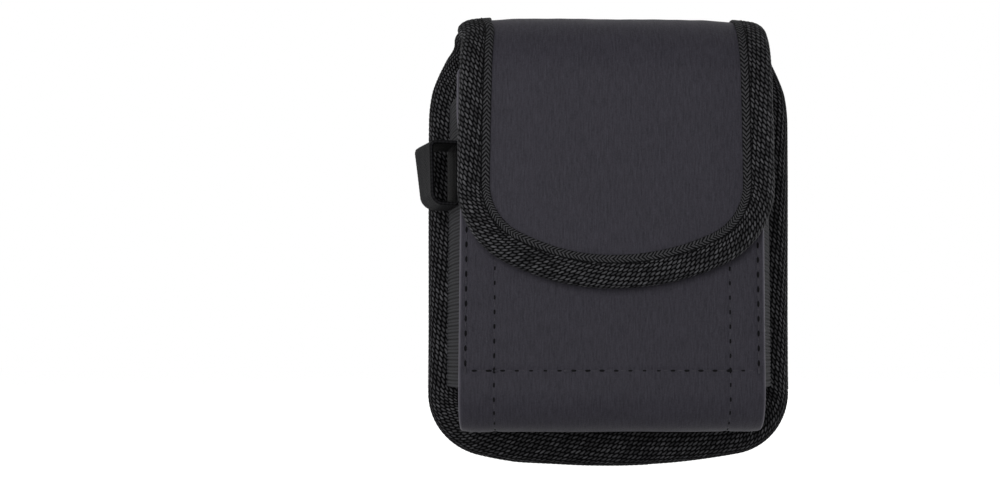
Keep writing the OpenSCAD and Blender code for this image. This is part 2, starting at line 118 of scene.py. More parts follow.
def to_row(points: np.ndarray) -> np.ndarray:
    """Turns millimetres of the case frame into metres of the row frame."""
    return points * MM + np.array(CASE_ZERO)


def smooth(value: np.ndarray | float, low: float, high: float) -> np.ndarray:
    """Rises from 0 at low to 1 at high, flat at both ends."""
    t = np.clip((np.asarray(value, float) - low) / (high - low), 0.0, 1.0)
    return t * t * (3.0 - 2.0 * t)


def fade(value: np.ndarray | float, near: float, far: float) -> np.ndarray:
    """Falls from 1 at near to 0 at far, flat at both ends."""
    return smooth(-np.asarray(value, float), -far, -near)


def pit(distance: np.ndarray, width: float) -> np.ndarray:
    """A rounded groove: 1 in its middle, and near 0 past its width."""
    return np.exp(-((np.asarray(distance) / width) ** 2))


def distances(points: np.ndarray) -> np.ndarray:
    """Distance along a line to each of its points."""
    step = np.linalg.norm(np.diff(points, axis=0), axis=1)
    return np.concatenate([[0.0], np.cumsum(step)])


def unit(vectors: np.ndarray) -> np.ndarray:
    """Brings vectors to length 1."""
    return vectors / np.maximum(np.linalg.norm(vectors, axis=-1, keepdims=True), 1e-9)


def slopes(points: np.ndarray, axis: int, wrap: bool) -> np.ndarray:
    """Differences between the neighbours of each point of a line or grid.

    Args:
        points: places along a line, or rows x columns of them.
        axis: the axis that the neighbours lie along.
        wrap: whether the last place meets the first.

    Returns:
        One difference for each place.
    """
    if not wrap:
        return np.gradient(points, axis=axis)
    body = np.take(points, range(points.shape[axis] - 1), axis=axis)
    turned = np.roll(body, -1, axis=axis) - np.roll(body, 1, axis=axis)
    return np.concatenate([turned, np.take(turned, [0], axis=axis)], axis=axis)


def across_rows(values: np.ndarray, rows: int) -> np.ndarray:
    """Repeats one row of values in every row of a grid."""
    return np.repeat(values[None], rows, 0)


def down_columns(values: np.ndarray, columns: int) -> np.ndarray:
    """Repeats one column of values in every column of a grid."""
    return np.repeat(values[:, None], columns, 1)


# Selection and meshes


def deselect() -> None:
    """Deselects everything, the CAD nodes too."""
    bpy.ops.object.select_all(action="DESELECT")


def pick(piece: bpy.types.Object) -> None:
    """Makes one piece the only selected and the active one."""
    deselect()
    piece.select_set(True)
    bpy.context.view_layer.objects.active = piece


@contextmanager
def editing(piece: bpy.types.Object) -> Iterator[None]:
    """Opens a piece for editing with all of it selected, and closes it again."""
    pick(piece)
    bpy.ops.object.mode_set(mode="EDIT")
    bpy.ops.mesh.select_all(action="SELECT")
    yield
    bpy.ops.object.mode_set(mode="OBJECT")


def add_object(name: str, data: bpy.types.ID) -> bpy.types.Object:
    """Adds an object that shows some data."""
    made = bpy.data.objects.new(name, data)
    bpy.context.scene.collection.objects.link(made)
    return made


def weld(piece: bpy.types.Object, closed: bool = True, reach: float = 2e-6) -> None:
    """Merges the vertices that meet, and turns the faces outward.

    Args:
        piece: the mesh to weld.
        closed: whether the mesh is a closed shell, so that outward has a meaning.
        reach: distance under which vertices merge, in metres.
    """
    with editing(piece):
        bpy.ops.mesh.remove_doubles(threshold=reach)
        bpy.ops.mesh.select_all(action="SELECT")
        bpy.ops.mesh.dissolve_degenerate(threshold=reach / 2)
        if closed:
            bpy.ops.mesh.select_all(action="SELECT")
            bpy.ops.mesh.normals_make_consistent(inside=False)


def grid_piece(name: str, points: np.ndarray, uv: np.ndarray | None = None,
               tone: np.ndarray | None = None, closed: bool = True) -> bpy.types.Object:
    """Adds a grid, lays it over the given places and welds what meets.

    Args:
        name: name of the piece.
        points: places in the case frame, rows x columns x 3, in millimetres.
        uv: pattern coordinates, rows x columns x 2, in millimetres.
        tone: one value for each vertex, kept as the attribute that the finish reads for painted
            light: a highlight on rims, highlight and shade on yarn.
        closed: whether the welded grid is a closed shell.

    Returns:
        The new piece.
    """
    rows, columns = points.shape[:2]
    deselect()
    bpy.ops.mesh.primitive_grid_add(x_subdivisions=columns - 1, y_subdivisions=rows - 1, size=2.0)
    piece = bpy.context.object
    piece.name = piece.data.name = name
    mesh = piece.data
    count = len(mesh.vertices)
    flat = np.empty(count * 3)
    mesh.vertices.foreach_get("co", flat)
    flat = flat.reshape(-1, 3).round(5)
    order = np.lexsort((flat[..., 0], flat[..., 1]))
    placed = np.empty((count, 3))
    placed[order] = to_row(points.reshape(-1, 3))
    mesh.vertices.foreach_set("co", placed.ravel())
    corner = np.empty(len(mesh.loops), np.int32)
    mesh.loops.foreach_get("vertex_index", corner)
    if uv is not None:
        spread = np.empty((count, 2))
        spread[order] = uv.reshape(-1, 2)
        mesh.uv_layers[0].data.foreach_set("uv", spread[corner].ravel())
    if tone is not None:
        values = np.empty(count)
        values[order] = tone.ravel()
        layer = mesh.attributes.new("tone", "FLOAT", "POINT")
        layer.data.foreach_set("value", values)
    weld(piece, closed)
    bpy.ops.object.shade_smooth()
    return piece


def node_copy(node: str, name: str, bevel: float, sharp: float = 35.0) -> bpy.types.Object:
    """Copies a CAD node's mesh, merges it, rounds its sharp edges and stands it in its place.

    Args:
        node: the CAD node.
        name: name of the copy.
        bevel: width of the rounding, in millimetres.
        sharp: edges that turn by more than this many degrees are rounded.

    Returns:
        The copy.
    """
    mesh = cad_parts[node].data.copy()
    mesh.name = name
    piece = add_object(name, mesh)
    weld(piece, reach=1e-6)
    with editing(piece):
        bpy.ops.mesh.dissolve_limited(angle_limit=math.radians(1.5))
    if bevel > 0:
        rounding = piece.modifiers.new("Rounding", "BEVEL")
        rounding.width = bevel * MM
        rounding.segments = 3
        rounding.limit_method = "ANGLE"
        rounding.angle_limit = math.radians(sharp)
        bpy.ops.object.modifier_apply(modifier=rounding.name)
    bpy.ops.object.shade_smooth_by_angle(angle=math.radians(sharp))
    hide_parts(node)
    return piece


# Materials


Socket = bpy.types.NodeSocket
Color = tuple[float, float, float]
WHITE = (1.0, 1.0, 1.0, 1.0)


def opaque(color: Color) -> tuple[float, float, float, float]:
    """The colour with full alpha, as a socket takes it."""
    return (*color, 1.0)


class Shading:
    """A node tree with short ways to add nodes and join them."""

    def __init__(self, tree: bpy.types.NodeTree) -> None:
        """Keeps the tree that nodes are added to."""
        self.tree = tree

    def fill(self, node: bpy.types.Node, **inputs: object) -> bpy.types.Node:
        """Sets or links the inputs of a node.

        Args:
            node: the node.
            **inputs: values or sockets for its inputs, by name with _ for a blank, or iN by place.

        Returns:
            The same node.
        """
        for key, value in inputs.items():
            place = int(key[1:]) if key[0] == "i" and key[1:].isdigit() else key.replace("_", " ")
            if isinstance(value, Socket):
                self.tree.links.new(value, node.inputs[place])
            else:
                node.inputs[place].default_value = value
        return node

    def node(self, kind: str, settings: dict | None = None, **inputs: object) -> bpy.types.Node:
        """Adds a node.

        Args:
            kind: the node's type.
            settings: its properties.
            **inputs: its inputs, as in fill.

        Returns:
            The new node.
        """
        made = self.tree.nodes.new(kind)
        for key, value in (settings or {}).items():
            setattr(made, key, value)
        return self.fill(made, **inputs)

    def math(self, operation: str, *values: float | Socket) -> Socket:
        """Adds a Math node over the values and gives its result."""
        inputs = {f"i{i}": value for i, value in enumerate(values)}
        return self.node("ShaderNodeMath", {"operation": operation}, **inputs).outputs[0]

    def blend(self, share: float | Socket, low: Socket | Sequence[float],
              high: Socket | Sequence[float]) -> Socket:
        """Mixes two colours by a share and gives the result."""
        mixed = self.node("ShaderNodeMix", {"data_type": "RGBA"}, i0=share, i6=low, i7=high)
        return mixed.outputs[2]

    def noise(self, vector: Socket, **inputs: object) -> bpy.types.Node:
        """Adds a noise over a vector."""
        return self.node("ShaderNodeTexNoise", Vector=vector, **inputs)

    def ramp(self, value: Socket, low: float, high: float, first: float = 0.0,
             **settings: str) -> Socket:
        """Runs from first to 1 as the value goes from low to high, and stops there."""
        return self.node("ShaderNodeMapRange", settings, Value=value, i1=low, i2=high, i3=first,
                         i4=1.0).outputs[0]

    def effect(self, tree: bpy.types.NodeTree, **inputs: object) -> bpy.types.NodeOutputs:
        """Adds a group and gives its outputs."""
        return self.node("ShaderNodeGroup", {"node_tree": tree}, **inputs).outputs

    def place(self, kind: str) -> Socket:
        """Gives texture coordinates of a kind."""
        return self.node("ShaderNodeTexCoord").outputs[kind]

    def tone(self) -> Socket:
        """Gives the mesh's tone: the painted highlight along rims, or the yarn heights that paint
        highlight and shade.
        """
        return self.node("ShaderNodeAttribute", {"attribute_name": "tone"}).outputs["Fac"]

    def bump(self, height: Socket, depth: float, strength: float) -> Socket:
        """Turns a height into a normal, with its depth in millimetres."""
        return self.node("ShaderNodeBump", Height=height, Distance=depth * MM,
                         Strength=strength).outputs[0]


def group_tree(name: str, values: dict[str, float],
               *results: str) -> tuple[Shading, bpy.types.NodeOutputs, bpy.types.Node]:
    """Starts a shader node group with a vector, numbers to set and numbers as results.

    Args:
        name: name of the group.
        values: first value of each number to set, by name.
        *results: names of the results.

    Returns:
        The tree's Shading, the group's entries and its output node.
    """
    tree = bpy.data.node_groups.new(name, "ShaderNodeTree")
    tree.interface.new_socket(name="Vector", in_out="INPUT", socket_type="NodeSocketVector")
    for key, value in values.items():
        tree.interface.new_socket(
            name=key, in_out="INPUT", socket_type="NodeSocketFloat").default_value = value
    for key in results:
        tree.interface.new_socket(name=key, in_out="OUTPUT", socket_type="NodeSocketFloat")
    shading = Shading(tree)
    return shading, shading.node("NodeGroupInput").outputs, shading.node("NodeGroupOutput")


class Effects:
    """Node groups that several finishes share, each built once."""

    @staticmethod
    @cache
    def grain() -> bpy.types.NodeTree:
        """Fine pebbled grain: height for a bump, and a mask of its hollows."""
        shading, (vector, scale, *_), leave = group_tree(
            "Pebbled grain", {"Scale": 2.6}, "Height", "Hollows")
        bend = shading.noise(vector, Scale=scale, Detail=2.0)
        pushed = shading.node("ShaderNodeVectorMath", {"operation": "MULTIPLY_ADD"},
                              i0=bend.outputs["Color"], i1=(0.25, 0.25, 0.25), i2=vector)
        cells = shading.node("ShaderNodeTexVoronoi", {"feature": "SMOOTH_F1"},
                             Vector=pushed.outputs[0], Scale=scale,
                             Smoothness=0.6).outputs["Distance"]
        fine = shading.noise(vector, Scale=shading.math("MULTIPLY", scale, 3.1), Detail=3.0)
        crown = shading.math("SUBTRACT", 1.0, cells)
        shading.fill(leave, Height=shading.math("MULTIPLY_ADD", fine.outputs[0], 0.35, crown),
                     Hollows=shading.math("SMOOTH_MAX", cells, 0.2, 0.1))
        return shading.tree

    @staticmethod
    @cache
    def streaks() -> bpy.types.NodeTree:
        """Fine brushed streaks along the second pattern coordinate: a mask from 0 to 1."""
        shading, (vector, *_), leave = group_tree("Brushed streaks", {}, "Mask")
        drawn = shading.node("ShaderNodeMapping", Vector=vector, Scale=(2.6, 0.32, 1.0))
        noise = shading.noise(drawn.outputs[0], Scale=1.0, Detail=3.0, Roughness=0.65,
                              Distortion=0.4)
        shading.fill(leave, Mask=shading.ramp(noise.outputs[0], 0.3, 0.72))
        return shading.tree

    @staticmethod
    @cache
    def twill() -> bpy.types.NodeTree:
        """The tape's twill over its pattern coordinates: height, and a mask of its float tops,
        which the tape paints as highlight over painted shade.
        """
        shading, (vector, *_), leave = group_tree("Twill", {}, "Height", "Tops")
        form = Twill()
        do = shading.math
        tilt = math.radians(form.tilt)
        drift = shading.noise(vector, Scale=0.9, Detail=2.0)
        moved = shading.node("ShaderNodeVectorMath", {"operation": "MULTIPLY_ADD"},
                             i0=drift.outputs["Color"], i1=(form.drift,) * 3, i2=vector)
        parts = shading.node("ShaderNodeSeparateXYZ", Vector=moved.outputs[0])
        along, across = parts.outputs[0], parts.outputs[1]
        # the floats, in coordinates along and across their slant
        u = do("MULTIPLY_ADD", along, math.cos(tilt), do("MULTIPLY", across, math.sin(tilt)))
        v = do("MULTIPLY_ADD", across, math.cos(tilt), do("MULTIPLY", along, -math.sin(tilt)))
        row = do("ROUND", do("DIVIDE", v, form.row))
        side = do("MULTIPLY_ADD", row, -form.row, v)
        shifted = do("MULTIPLY_ADD", row, -form.shift, u)
        mark = do("ROUND", do("DIVIDE", shifted, form.step))
        run = do("MULTIPLY_ADD", mark, -form.step, shifted)
        swell = do("ADD",
                   do("POWER", do("ABSOLUTE", do("MULTIPLY", run, 2 / form.long)), form.power),
                   do("POWER", do("ABSOLUTE", do("MULTIPLY", side, 2 / form.wide)), 2.0))
        crest = do("SQRT", do("MAXIMUM", do("SUBTRACT", 1.0, swell), 0.0))
        seed = shading.node("ShaderNodeCombineXYZ", X=row, Y=mark)
        chance = shading.node("ShaderNodeTexWhiteNoise", {"noise_dimensions": "2D"},
                              Vector=seed.outputs[0]).outputs["Value"]
        crest = do("MULTIPLY", crest, do("MULTIPLY_ADD", chance, 0.32, 0.68))
        # the herringbone margin
        lean = do("ABSOLUTE", do("SUBTRACT", across, form.margin / 2))
        wave = do("SINE", do("MULTIPLY", do("MULTIPLY_ADD", lean, form.chevron, along),
                             math.pi / form.stroke))
        rim = shading.ramp(lean, form.margin / 2 - 0.05, form.margin / 2 - 0.35, 0.25)
        chevron = do("MULTIPLY", do("POWER", do("ABSOLUTE", wave), 0.8), rim)
        inner = shading.ramp(across, form.margin - 0.12, form.margin + 0.12)
        height = shading.node("ShaderNodeMix", {"data_type": "FLOAT"}, i0=inner,
                              i2=do("MULTIPLY", chevron, 0.8), i3=crest).outputs[0]
        # fine fibres over both
        drawn = shading.node("ShaderNodeCombineXYZ", X=do("MULTIPLY", u, 2.0),
                             Y=do("MULTIPLY", v, 12.0))
        fibres = shading.noise(drawn.outputs[0], Scale=1.0, Detail=3.0, Roughness=0.6).outputs[0]
        # Tops: the float tops, which take the painted highlight; the gaps take painted shade
        shading.fill(leave, Height=do("MULTIPLY_ADD", fibres, 0.22, height),
                     Tops=do("MULTIPLY", do("POWER", height, 2.8),
                             do("MULTIPLY_ADD", fibres, 1.2, 0.35)))
        return shading.tree

    @staticmethod
    @cache
    def mottle() -> bpy.types.NodeTree:
        """Slow patches over a surface: a mask from 0 to 1."""
        shading, (vector, scale, *_), leave = group_tree("Slow patches", {"Scale": 90.0}, "Mask")
        noise = shading.noise(vector, Scale=scale, Detail=4.0, Roughness=0.6)
        shading.fill(leave, Mask=shading.ramp(noise.outputs[0], 0.3, 0.7))
        return shading.tree

    @staticmethod
    @cache
    def weave() -> bpy.types.NodeTree:
        """Plain weave over pattern coordinates: height, and a mask of the yarns' tops for a painted
        highlight over painted shade between them.
        """
        shading, (vector, pitch, *_), leave = group_tree(
            "Plain weave", {"Pitch": 0.4}, "Height", "Tops")
        do = shading.math
        parts = shading.node("ShaderNodeSeparateXYZ", Vector=vector).outputs
        across, along = (do("DIVIDE", parts[i], pitch) for i in range(2))
        parity = do("PINGPONG", do("ADD", do("FLOOR", across), do("FLOOR", along)), 1.0)
        warp, weft = (do("MULTIPLY", do("ABSOLUTE", do("SINE", do("MULTIPLY", value, math.pi))),
                         do("MULTIPLY_ADD", over, 0.7, 0.3))
                      for value, over in ((across, parity), (along, do("SUBTRACT", 1.0, parity))))
        height = do("MAXIMUM", warp, weft)
        shading.fill(leave, Height=height, Tops=do("POWER", height, 2.0))
        return shading.tree

    @staticmethod
    @cache
    def fuzz() -> bpy.types.NodeTree:
        """Fibres of a yarn: height for a bump, and a mask of painted highlight and shade, from a
        vertex tone and a fine noise.
        """
        shading, (vector, tone, scale, *_), leave = group_tree(
            "Yarn fibres", {"Tone": 0.5, "Scale": 9.0}, "Height", "Tops")
        noise = shading.noise(vector, Scale=scale, Detail=3.0, Roughness=0.7)
        height = shading.math("MULTIPLY_ADD", noise.outputs[0], 0.5, tone)
        shading.fill(leave, Height=height, Tops=shading.ramp(
            height, 0.35, 1.25, interpolation_type="SMOOTHSTEP"))
        return shading.tree


class TwoTone(Protocol):
    """A finish of two colours."""

    low: Color
    high: Color
    roughness: float
    specular: float


def dress(finish: TwoTone, shading: Shading, shader: bpy.types.Node, mask: Socket,
          normal: Socket) -> None:
    """Gives a shader a finish's two colours.

    Args:
        finish: the finish.
        shading: the material's Shading.
        shader: its Principled shader.
        mask: 0 for the low colour and 1 for the high one.
        normal: the bumped normal.
    """
    shading.fill(shader, Base_Color=shading.blend(mask, opaque(finish.low), opaque(finish.high)),
                 Normal=normal, Roughness=finish.roughness, Specular_IOR_Level=finish.specular)


def new_material(name: str) -> tuple[bpy.types.Material, Shading, bpy.types.Node]:
    """Starts a material.

    Args:
        name: name of the finish.

    Returns:
        The material, its Shading and its Principled shader.
    """
    material = bpy.data.materials.new(name)
    material.use_nodes = True
    return material, Shading(material.node_tree), material.node_tree.nodes["Principled BSDF"]


@dataclass(frozen=True)
class Leatherette:
    """Coated cloth with a fine pebbled grain, brushed lengthwise."""

    name: str
    low: Color = (0.0208, 0.0195, 0.0257)
    high: Color = (0.0520, 0.0489, 0.0624)
    roughness: float = 0.55
    # rim: colour of a painted highlight along the rounded edges, laid on by the mesh's tone
    rim: Color = (0.104, 0.099, 0.120)
    grain_scale: float = 2.6
    grain_depth: float = 0.07
    patch_scale: float = 0.07
    specular: float = 0.10

    def material(self) -> bpy.types.Material:
        """Builds the material: brushed grain, darker hollows, slow patches and a painted highlight
        along the rims.
        """
        material, shading, shader = new_material(self.name)
        do, uv = shading.math, shading.place("UV")
        grain = shading.effect(Effects.grain(), Vector=uv, Scale=self.grain_scale)
        streaks = shading.effect(Effects.streaks(), Vector=uv)["Mask"]
        patches = shading.effect(Effects.mottle(), Vector=uv, Scale=self.patch_scale)["Mask"]
        share = do("MULTIPLY_ADD", streaks, 0.6, do("MULTIPLY_ADD", patches, 0.16, 0.25))
        share = do("MULTIPLY_ADD", grain["Hollows"], -0.4, share)
        color = shading.blend(share, opaque(self.low), opaque(self.high))
        height = do("MULTIPLY_ADD", streaks, 0.9, grain["Height"])
        # the tone lays the painted rim highlight over the leatherette's colour
        shading.fill(shader, Base_Color=shading.blend(shading.tone(), color, opaque(self.rim)),
                     Roughness=do("MULTIPLY_ADD", patches, 0.08, self.roughness),
                     Normal=shading.bump(height, self.grain_depth, 0.7),
                     Specular_IOR_Level=self.specular)
        return material


@dataclass(frozen=True)
class TwillTape:
    """Coarse twill tape: tilted floats with a painted highlight on their tops over painted shade in
    the gaps, with a herringbone margin.
    """

    name: str
    # low is painted shade in the gaps, high a painted highlight on the float tops
    low: Color = (0.0004, 0.0004, 0.0006)
    high: Color = (0.127, 0.127, 0.135)
    roughness: float = 0.62
    specular: float = 0.02

    def material(self) -> bpy.types.Material:
        """Builds the material from the twill over the tape's own pattern coordinates, with a
        painted highlight on the float tops and painted shade between them.
        """
        material, shading, shader = new_material(self.name)
        twill = shading.effect(Effects.twill(), Vector=shading.place("UV"))
        dress(self, shading, shader, twill["Tops"], shading.bump(twill["Height"], 0.16, 0.9))
        return material


@dataclass(frozen=True)
class Yarn:
    """Woven or knitted yarn whose float heights are kept on the mesh as a tone, which paints
    highlight and shade.
    """

    name: str
    low: Color
    high: Color
    roughness: float = 0.72
    fibre_scale: float = 9.0
    specular: float = 0.06

    def material(self) -> bpy.types.Material:
        """Builds the material from the mesh's tone: painted shade between yarns, a painted
        highlight on their tops.
        """
        material, shading, shader = new_material(self.name)
        fibres = shading.effect(Effects.fuzz(), Vector=shading.place("UV"), Tone=shading.tone(),
                                Scale=self.fibre_scale)
        dress(self, shading, shader, fibres["Tops"], shading.bump(fibres["Height"], 0.05, 0.7))
        return material


@dataclass(frozen=True)
class PlainCloth:
    """Smooth woven lining on the piece's own pattern coordinates, with painted shade between its
    yarns.
    """

    name: str
    # low is painted shade between the yarns, high a painted highlight on their tops
    low: Color = (0.006, 0.006, 0.007)
    high: Color = (0.022, 0.022, 0.025)
    pitch: float = 0.35
    roughness: float = 0.7
    specular: float = 0.08

    def material(self) -> bpy.types.Material:
        """Builds the material from a plain weave over the UV map: a painted highlight on the yarns'
        tops, painted shade between them.
        """
        material, shading, shader = new_material(self.name)
        weave = shading.effect(Effects.weave(), Vector=shading.place("UV"), Pitch=self.pitch)
        dress(self, shading, shader, weave["Tops"], shading.bump(weave["Height"], 0.05, 0.8))
        return material


@dataclass(frozen=True)
class Metal:
    """Metal or lacquered metal with a faint unevenness in its gloss."""

    name: str
    color: Color
    metallic: float
    roughness: float
    coat: float = 0.0
    ripple: float = 0.02
    specular: float = 0.5
    patch_scale: float = 260.0
    coat_roughness: float = 0.06

    def material(self) -> bpy.types.Material:
        """Builds the material."""
        material, shading, shader = new_material(self.name)
        patches = shading.effect(Effects.mottle(), Vector=shading.place("Object"),
                                 Scale=self.patch_scale)["Mask"]
        shading.fill(shader, Base_Color=opaque(self.color), Metallic=self.metallic,
                     Roughness=shading.math("MULTIPLY_ADD", patches, 0.06, self.roughness),
                     Normal=shading.bump(patches, self.ripple, 0.4), Coat_Weight=self.coat,
                     Coat_Roughness=self.coat_roughness, Specular_IOR_Level=self.specular)
        return material


@dataclass(frozen=True)
class Matte:
    """Matte foam, board or thread with a slow unevenness in its colour."""

    name: str
    low: Color
    high: Color
    roughness: float = 0.85
    patch_scale: float = 500.0
    specular: float = 0.06

    def material(self) -> bpy.types.Material:
        """Builds the material."""
        material, shading, shader = new_material(self.name)
        patches = shading.effect(Effects.mottle(), Vector=shading.place("Object"),
                                 Scale=self.patch_scale)["Mask"]
        dress(self, shading, shader, patches, shading.bump(patches, 0.05, 0.5))
        return material


class Finishes:
    """All finishes of the holster, each made into a material once."""

    def __init__(self) -> None:
        """Builds the materials."""
        self.leatherette = Leatherette("Leatherette").material()
        # the cover patch's leatherette is a darker copy: painted shadow of the clip
        self.patch = Leatherette("Leatherette in painted clip shadow", low=(0.0104, 0.0096, 0.013),
                                 high=(0.028, 0.026, 0.034)).material()
        self.lining = PlainCloth("Lining").material()
        self.foam = Matte("Foam", (0.012, 0.012, 0.013), (0.026, 0.026, 0.028)).material()
        self.board = Matte("Board", (0.16, 0.125, 0.085), (0.23, 0.185, 0.13)).material()
        self.tape = TwillTape("Binding tape").material()
        # elastic and webbing: low is painted shade between the yarns, high a painted highlight on
        # their tops
        self.elastic = Yarn("Elastic", (0.0015, 0.0015, 0.0018), (0.044, 0.044, 0.0485),
                            fibre_scale=11.0).material()
        self.webbing = Yarn("Webbing", (0.0004, 0.0004, 0.0006), (0.0143, 0.0143, 0.0163),
                            roughness=0.65).material()
        self.thread = Matte("Thread", (0.0015, 0.0015, 0.0018), (0.004, 0.004, 0.0046), 0.7,
                            2500.0).material()
        # the thread between the holes, lighter than the leather: a painted highlight
        self.thread_painted_highlight = Matte("Thread with painted highlight", (0.034, 0.0325, 0.040),
                                 (0.065, 0.0625, 0.074), 0.5, 2500.0).material()
        self.black_steel = Metal("Black lacquered steel", (0.003, 0.003, 0.004), 0.0, 0.22,
                                 coat=0.03, specular=0.06).material()
        self.bare_steel = Metal("Bare steel", (0.52, 0.52, 0.53), 1.0, 0.36).material()
        self.nickel = Metal("Nickel", (0.22, 0.21, 0.20), 1.0, 0.13, ripple=0.01).material()


def finish_piece(piece: bpy.types.Object, material: bpy.types.Material, slot: Slot,
                 body: Body | None = None) -> None:
    """Gives a piece its material and its body, and reports it with its slot.

    Args:
        piece: the piece.
        material: its finish.
        slot: the record's slot that the finish stands for.
        body: the body that it moves with, unless it bends over the arch.
    """
    piece.data.materials.clear()
    piece.data.materials.append(material)
    if body is not None:
        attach(piece, body.value)
    LOG.info("%s: %d faces, %s", piece.name, len(piece.data.polygons), slot.value)


# Surfaces that soft pieces are laid over


def arc(across: float, up: float, radius: float, start: float, end: float,
        count: int) -> np.ndarray:
    """Points of an arc.

    Args:
        across: first coordinate of its middle.
        up: second coordinate of its middle.
        radius: its radius.
        start: first angle, counted in radians from straight down towards the first axis.
        end: last angle.
        count: number of points.

    Returns:
        The points.
    """
    turn = np.linspace(start, end, count)
    return np.stack([across + radius * np.sin(turn), up - radius * np.cos(turn)], -1)


@dataclass(frozen=True)
class Strip:
    """The padded strip: up the back, over the crown and down the flap.

    The photo's object leans to its left where the solids don't: hang moves the flap's left half
    inward, bulge moves the crown's left corner outward, and drop lowers the lower left edge.
    """

    width: float
    height: float
    flap_half: float
    flap_tip: float
    outer_y: float
    back: float = 6.4
    flap: float = 3.5
    tape: float = 0.8
    corner_r: float = 15.0
    bottom_bow: float = 180.0
    sink: float = 0.5
    swell: float = 0.6
    swell_z: float = 20.0
    shoulder_z: float = 83.0
    shoulder_r: float = 33.0
    shoulder_bend: float = 0.72
    flare: float = 0.1
    widen: float = 0.5
    widen_run: float = 50.0
    flap_corner_r: float = 20.0
    flap_bow: float = 60.0
    hang: float = 1.5
    hang_x: tuple[float, float] = (4.0, 26.0)
    hang_run: tuple[float, float] = (7.0, 15.0)
    bulge: float = 1.3
    bulge_down: float = 6.5
    bulge_run: float = 4.0
    drop: float = 0.5
    drop_x: float = 25.0
    drop_run: float = 8.0
    drop_z: tuple[float, float] = (15.0, 30.0)

    @classmethod
    def from_frame(cls) -> "Strip":
        """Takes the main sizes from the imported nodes."""
        back_low, back_high = case_box("back_binding")
        flap_low, flap_high = case_box("flap_binding")
        return cls(width=back_high[0] - back_low[0], height=back_high[2],
                   flap_half=flap_high[0], flap_tip=flap_low[2],
                   outer_y=case_box("flap_cover")[0][1])

    @property
    def arch_r(self) -> float:
        """Outer radius of the arch."""
        return -self.outer_y / 2

    @property
    def arch_z(self) -> float:
        """Height of the arch's middle."""
        return self.height - self.tape - self.sink - self.arch_r

    @property
    def crown(self) -> float:
        """Station of the crown."""
        return self.arch_z + self.arch_r * math.pi / 2

    @property
    def fore(self) -> float:
        """Station at which the flap hangs straight."""
        return self.arch_z + self.arch_r * math.pi

    @property
    def tip(self) -> float:
        """Station of the flap's end."""
        return self.fore + self.arch_z - self.flap_tip

    def faces(self, station: np.ndarray) -> tuple[np.ndarray, np.ndarray]:
        """Outer and inner face at a station.

        Args:
            station: distance along the outer face from the lower edge of the back.

        Returns:
            Y and Z of the outer face, and of the inner face.
        """
        s = np.asarray(station, float)
        turn = np.clip((s - self.arch_z) / self.arch_r, 0.0, math.pi)
        rise = np.minimum(s, self.arch_z)
        drop = np.maximum(s - self.fore, 0.0)
        mid = -self.arch_r
        outer = np.stack([mid + self.arch_r * np.cos(turn),
                          rise + self.arch_r * np.sin(turn) - drop], -1)
        fore_r, rear_r = self.arch_r - self.flap, self.arch_r - self.back
        rear_z = self.arch_z + fore_r - rear_r
        radius = np.where(turn < math.pi / 2, rear_r, fore_r)
        centre = np.where(turn < math.pi / 2, rear_z, self.arch_z)
        inner = np.stack([mid + radius * np.cos(turn),
                          rise * centre / self.arch_z + radius * np.sin(turn) - drop], -1)
        return outer, inner

    def lean(self, left: np.ndarray) -> np.ndarray:
        """Leans the left half of the edge, x and station, as the photo's object does."""
        x, s = left[:, 0], left[:, 1]
        hang = self.hang * smooth(-x, *self.hang_x) * smooth(
            s, self.crown + self.hang_run[0], self.crown + self.hang_run[1])
        hang = hang - self.bulge * pit(s - self.crown + self.bulge_down, self.bulge_run)
        drop = self.drop * pit(x + self.drop_x, self.drop_run) * fade(s, *self.drop_z)
        return np.stack([x + hang, s - drop], -1)

    def place(self, flat: np.ndarray, share: np.ndarray | float,
              extra: np.ndarray | float) -> np.ndarray:
        """Places points of the laid-out strip.

        Args:
            flat: x and station, ... x 2.
            share: share of the thickness, from 0 at the outer face to 1 at the inner face.
            extra: millimetres further in.

        Returns:
            Places in the case frame, ... x 3.
        """
        outer, inner = self.faces(flat[..., 1])
        across = inner - outer
        thick = np.linalg.norm(across, axis=-1, keepdims=True)
        depth = np.asarray(share)[..., None] * thick + np.asarray(extra)[..., None]
        spot = outer + across / thick * depth
        return np.concatenate([flat[..., :1], spot], -1)

    def half_outline(self) -> tuple[np.ndarray, np.ndarray]:
        """Right-hand edge: lower middle to crown, and crown to the flap's middle.

        Returns:
            Two lists of x and station.
        """
        half = self.width / 2
        cx = half - self.corner_r
        cz = self.bottom_bow - math.sqrt((self.bottom_bow - self.corner_r) ** 2 - cx ** 2)
        meet = math.asin(cx / (self.bottom_bow - self.corner_r))
        bow = arc(0.0, self.bottom_bow, self.bottom_bow, 0.0, meet, 40)[:-1]
        corner = arc(cx, cz, self.corner_r, meet, math.pi / 2, 60)[:-1]
        station = np.linspace(cz, self.crown, 400)
        level = np.where(station < self.arch_z, station, self.arch_z + self.arch_r * np.sin(
            np.maximum(station - self.arch_z, 0.0) / self.arch_r))
        over = np.maximum(level - self.shoulder_z, 0.0)
        top = self.arch_z + self.arch_r - self.shoulder_z
        bend = self.shoulder_bend * top
        sag = bend ** 2 / (2 * self.shoulder_r)
        t = np.clip((over - bend) / (top - bend), 0.0, 1.0)
        full = half + self.swell - self.flap_half + self.flare
        slope = bend / self.shoulder_r * (top - bend)
        upper = sag + slope * t * (1 - t) ** 2 + (full - sag) * t * t * (3 - 2 * t)
        x = half - np.where(over < bend, over ** 2 / (2 * self.shoulder_r), upper)
        x = x + self.swell * smooth(level, self.swell_z, self.shoulder_z)
        low = np.concatenate([bow, corner, np.stack([x, station], -1)])

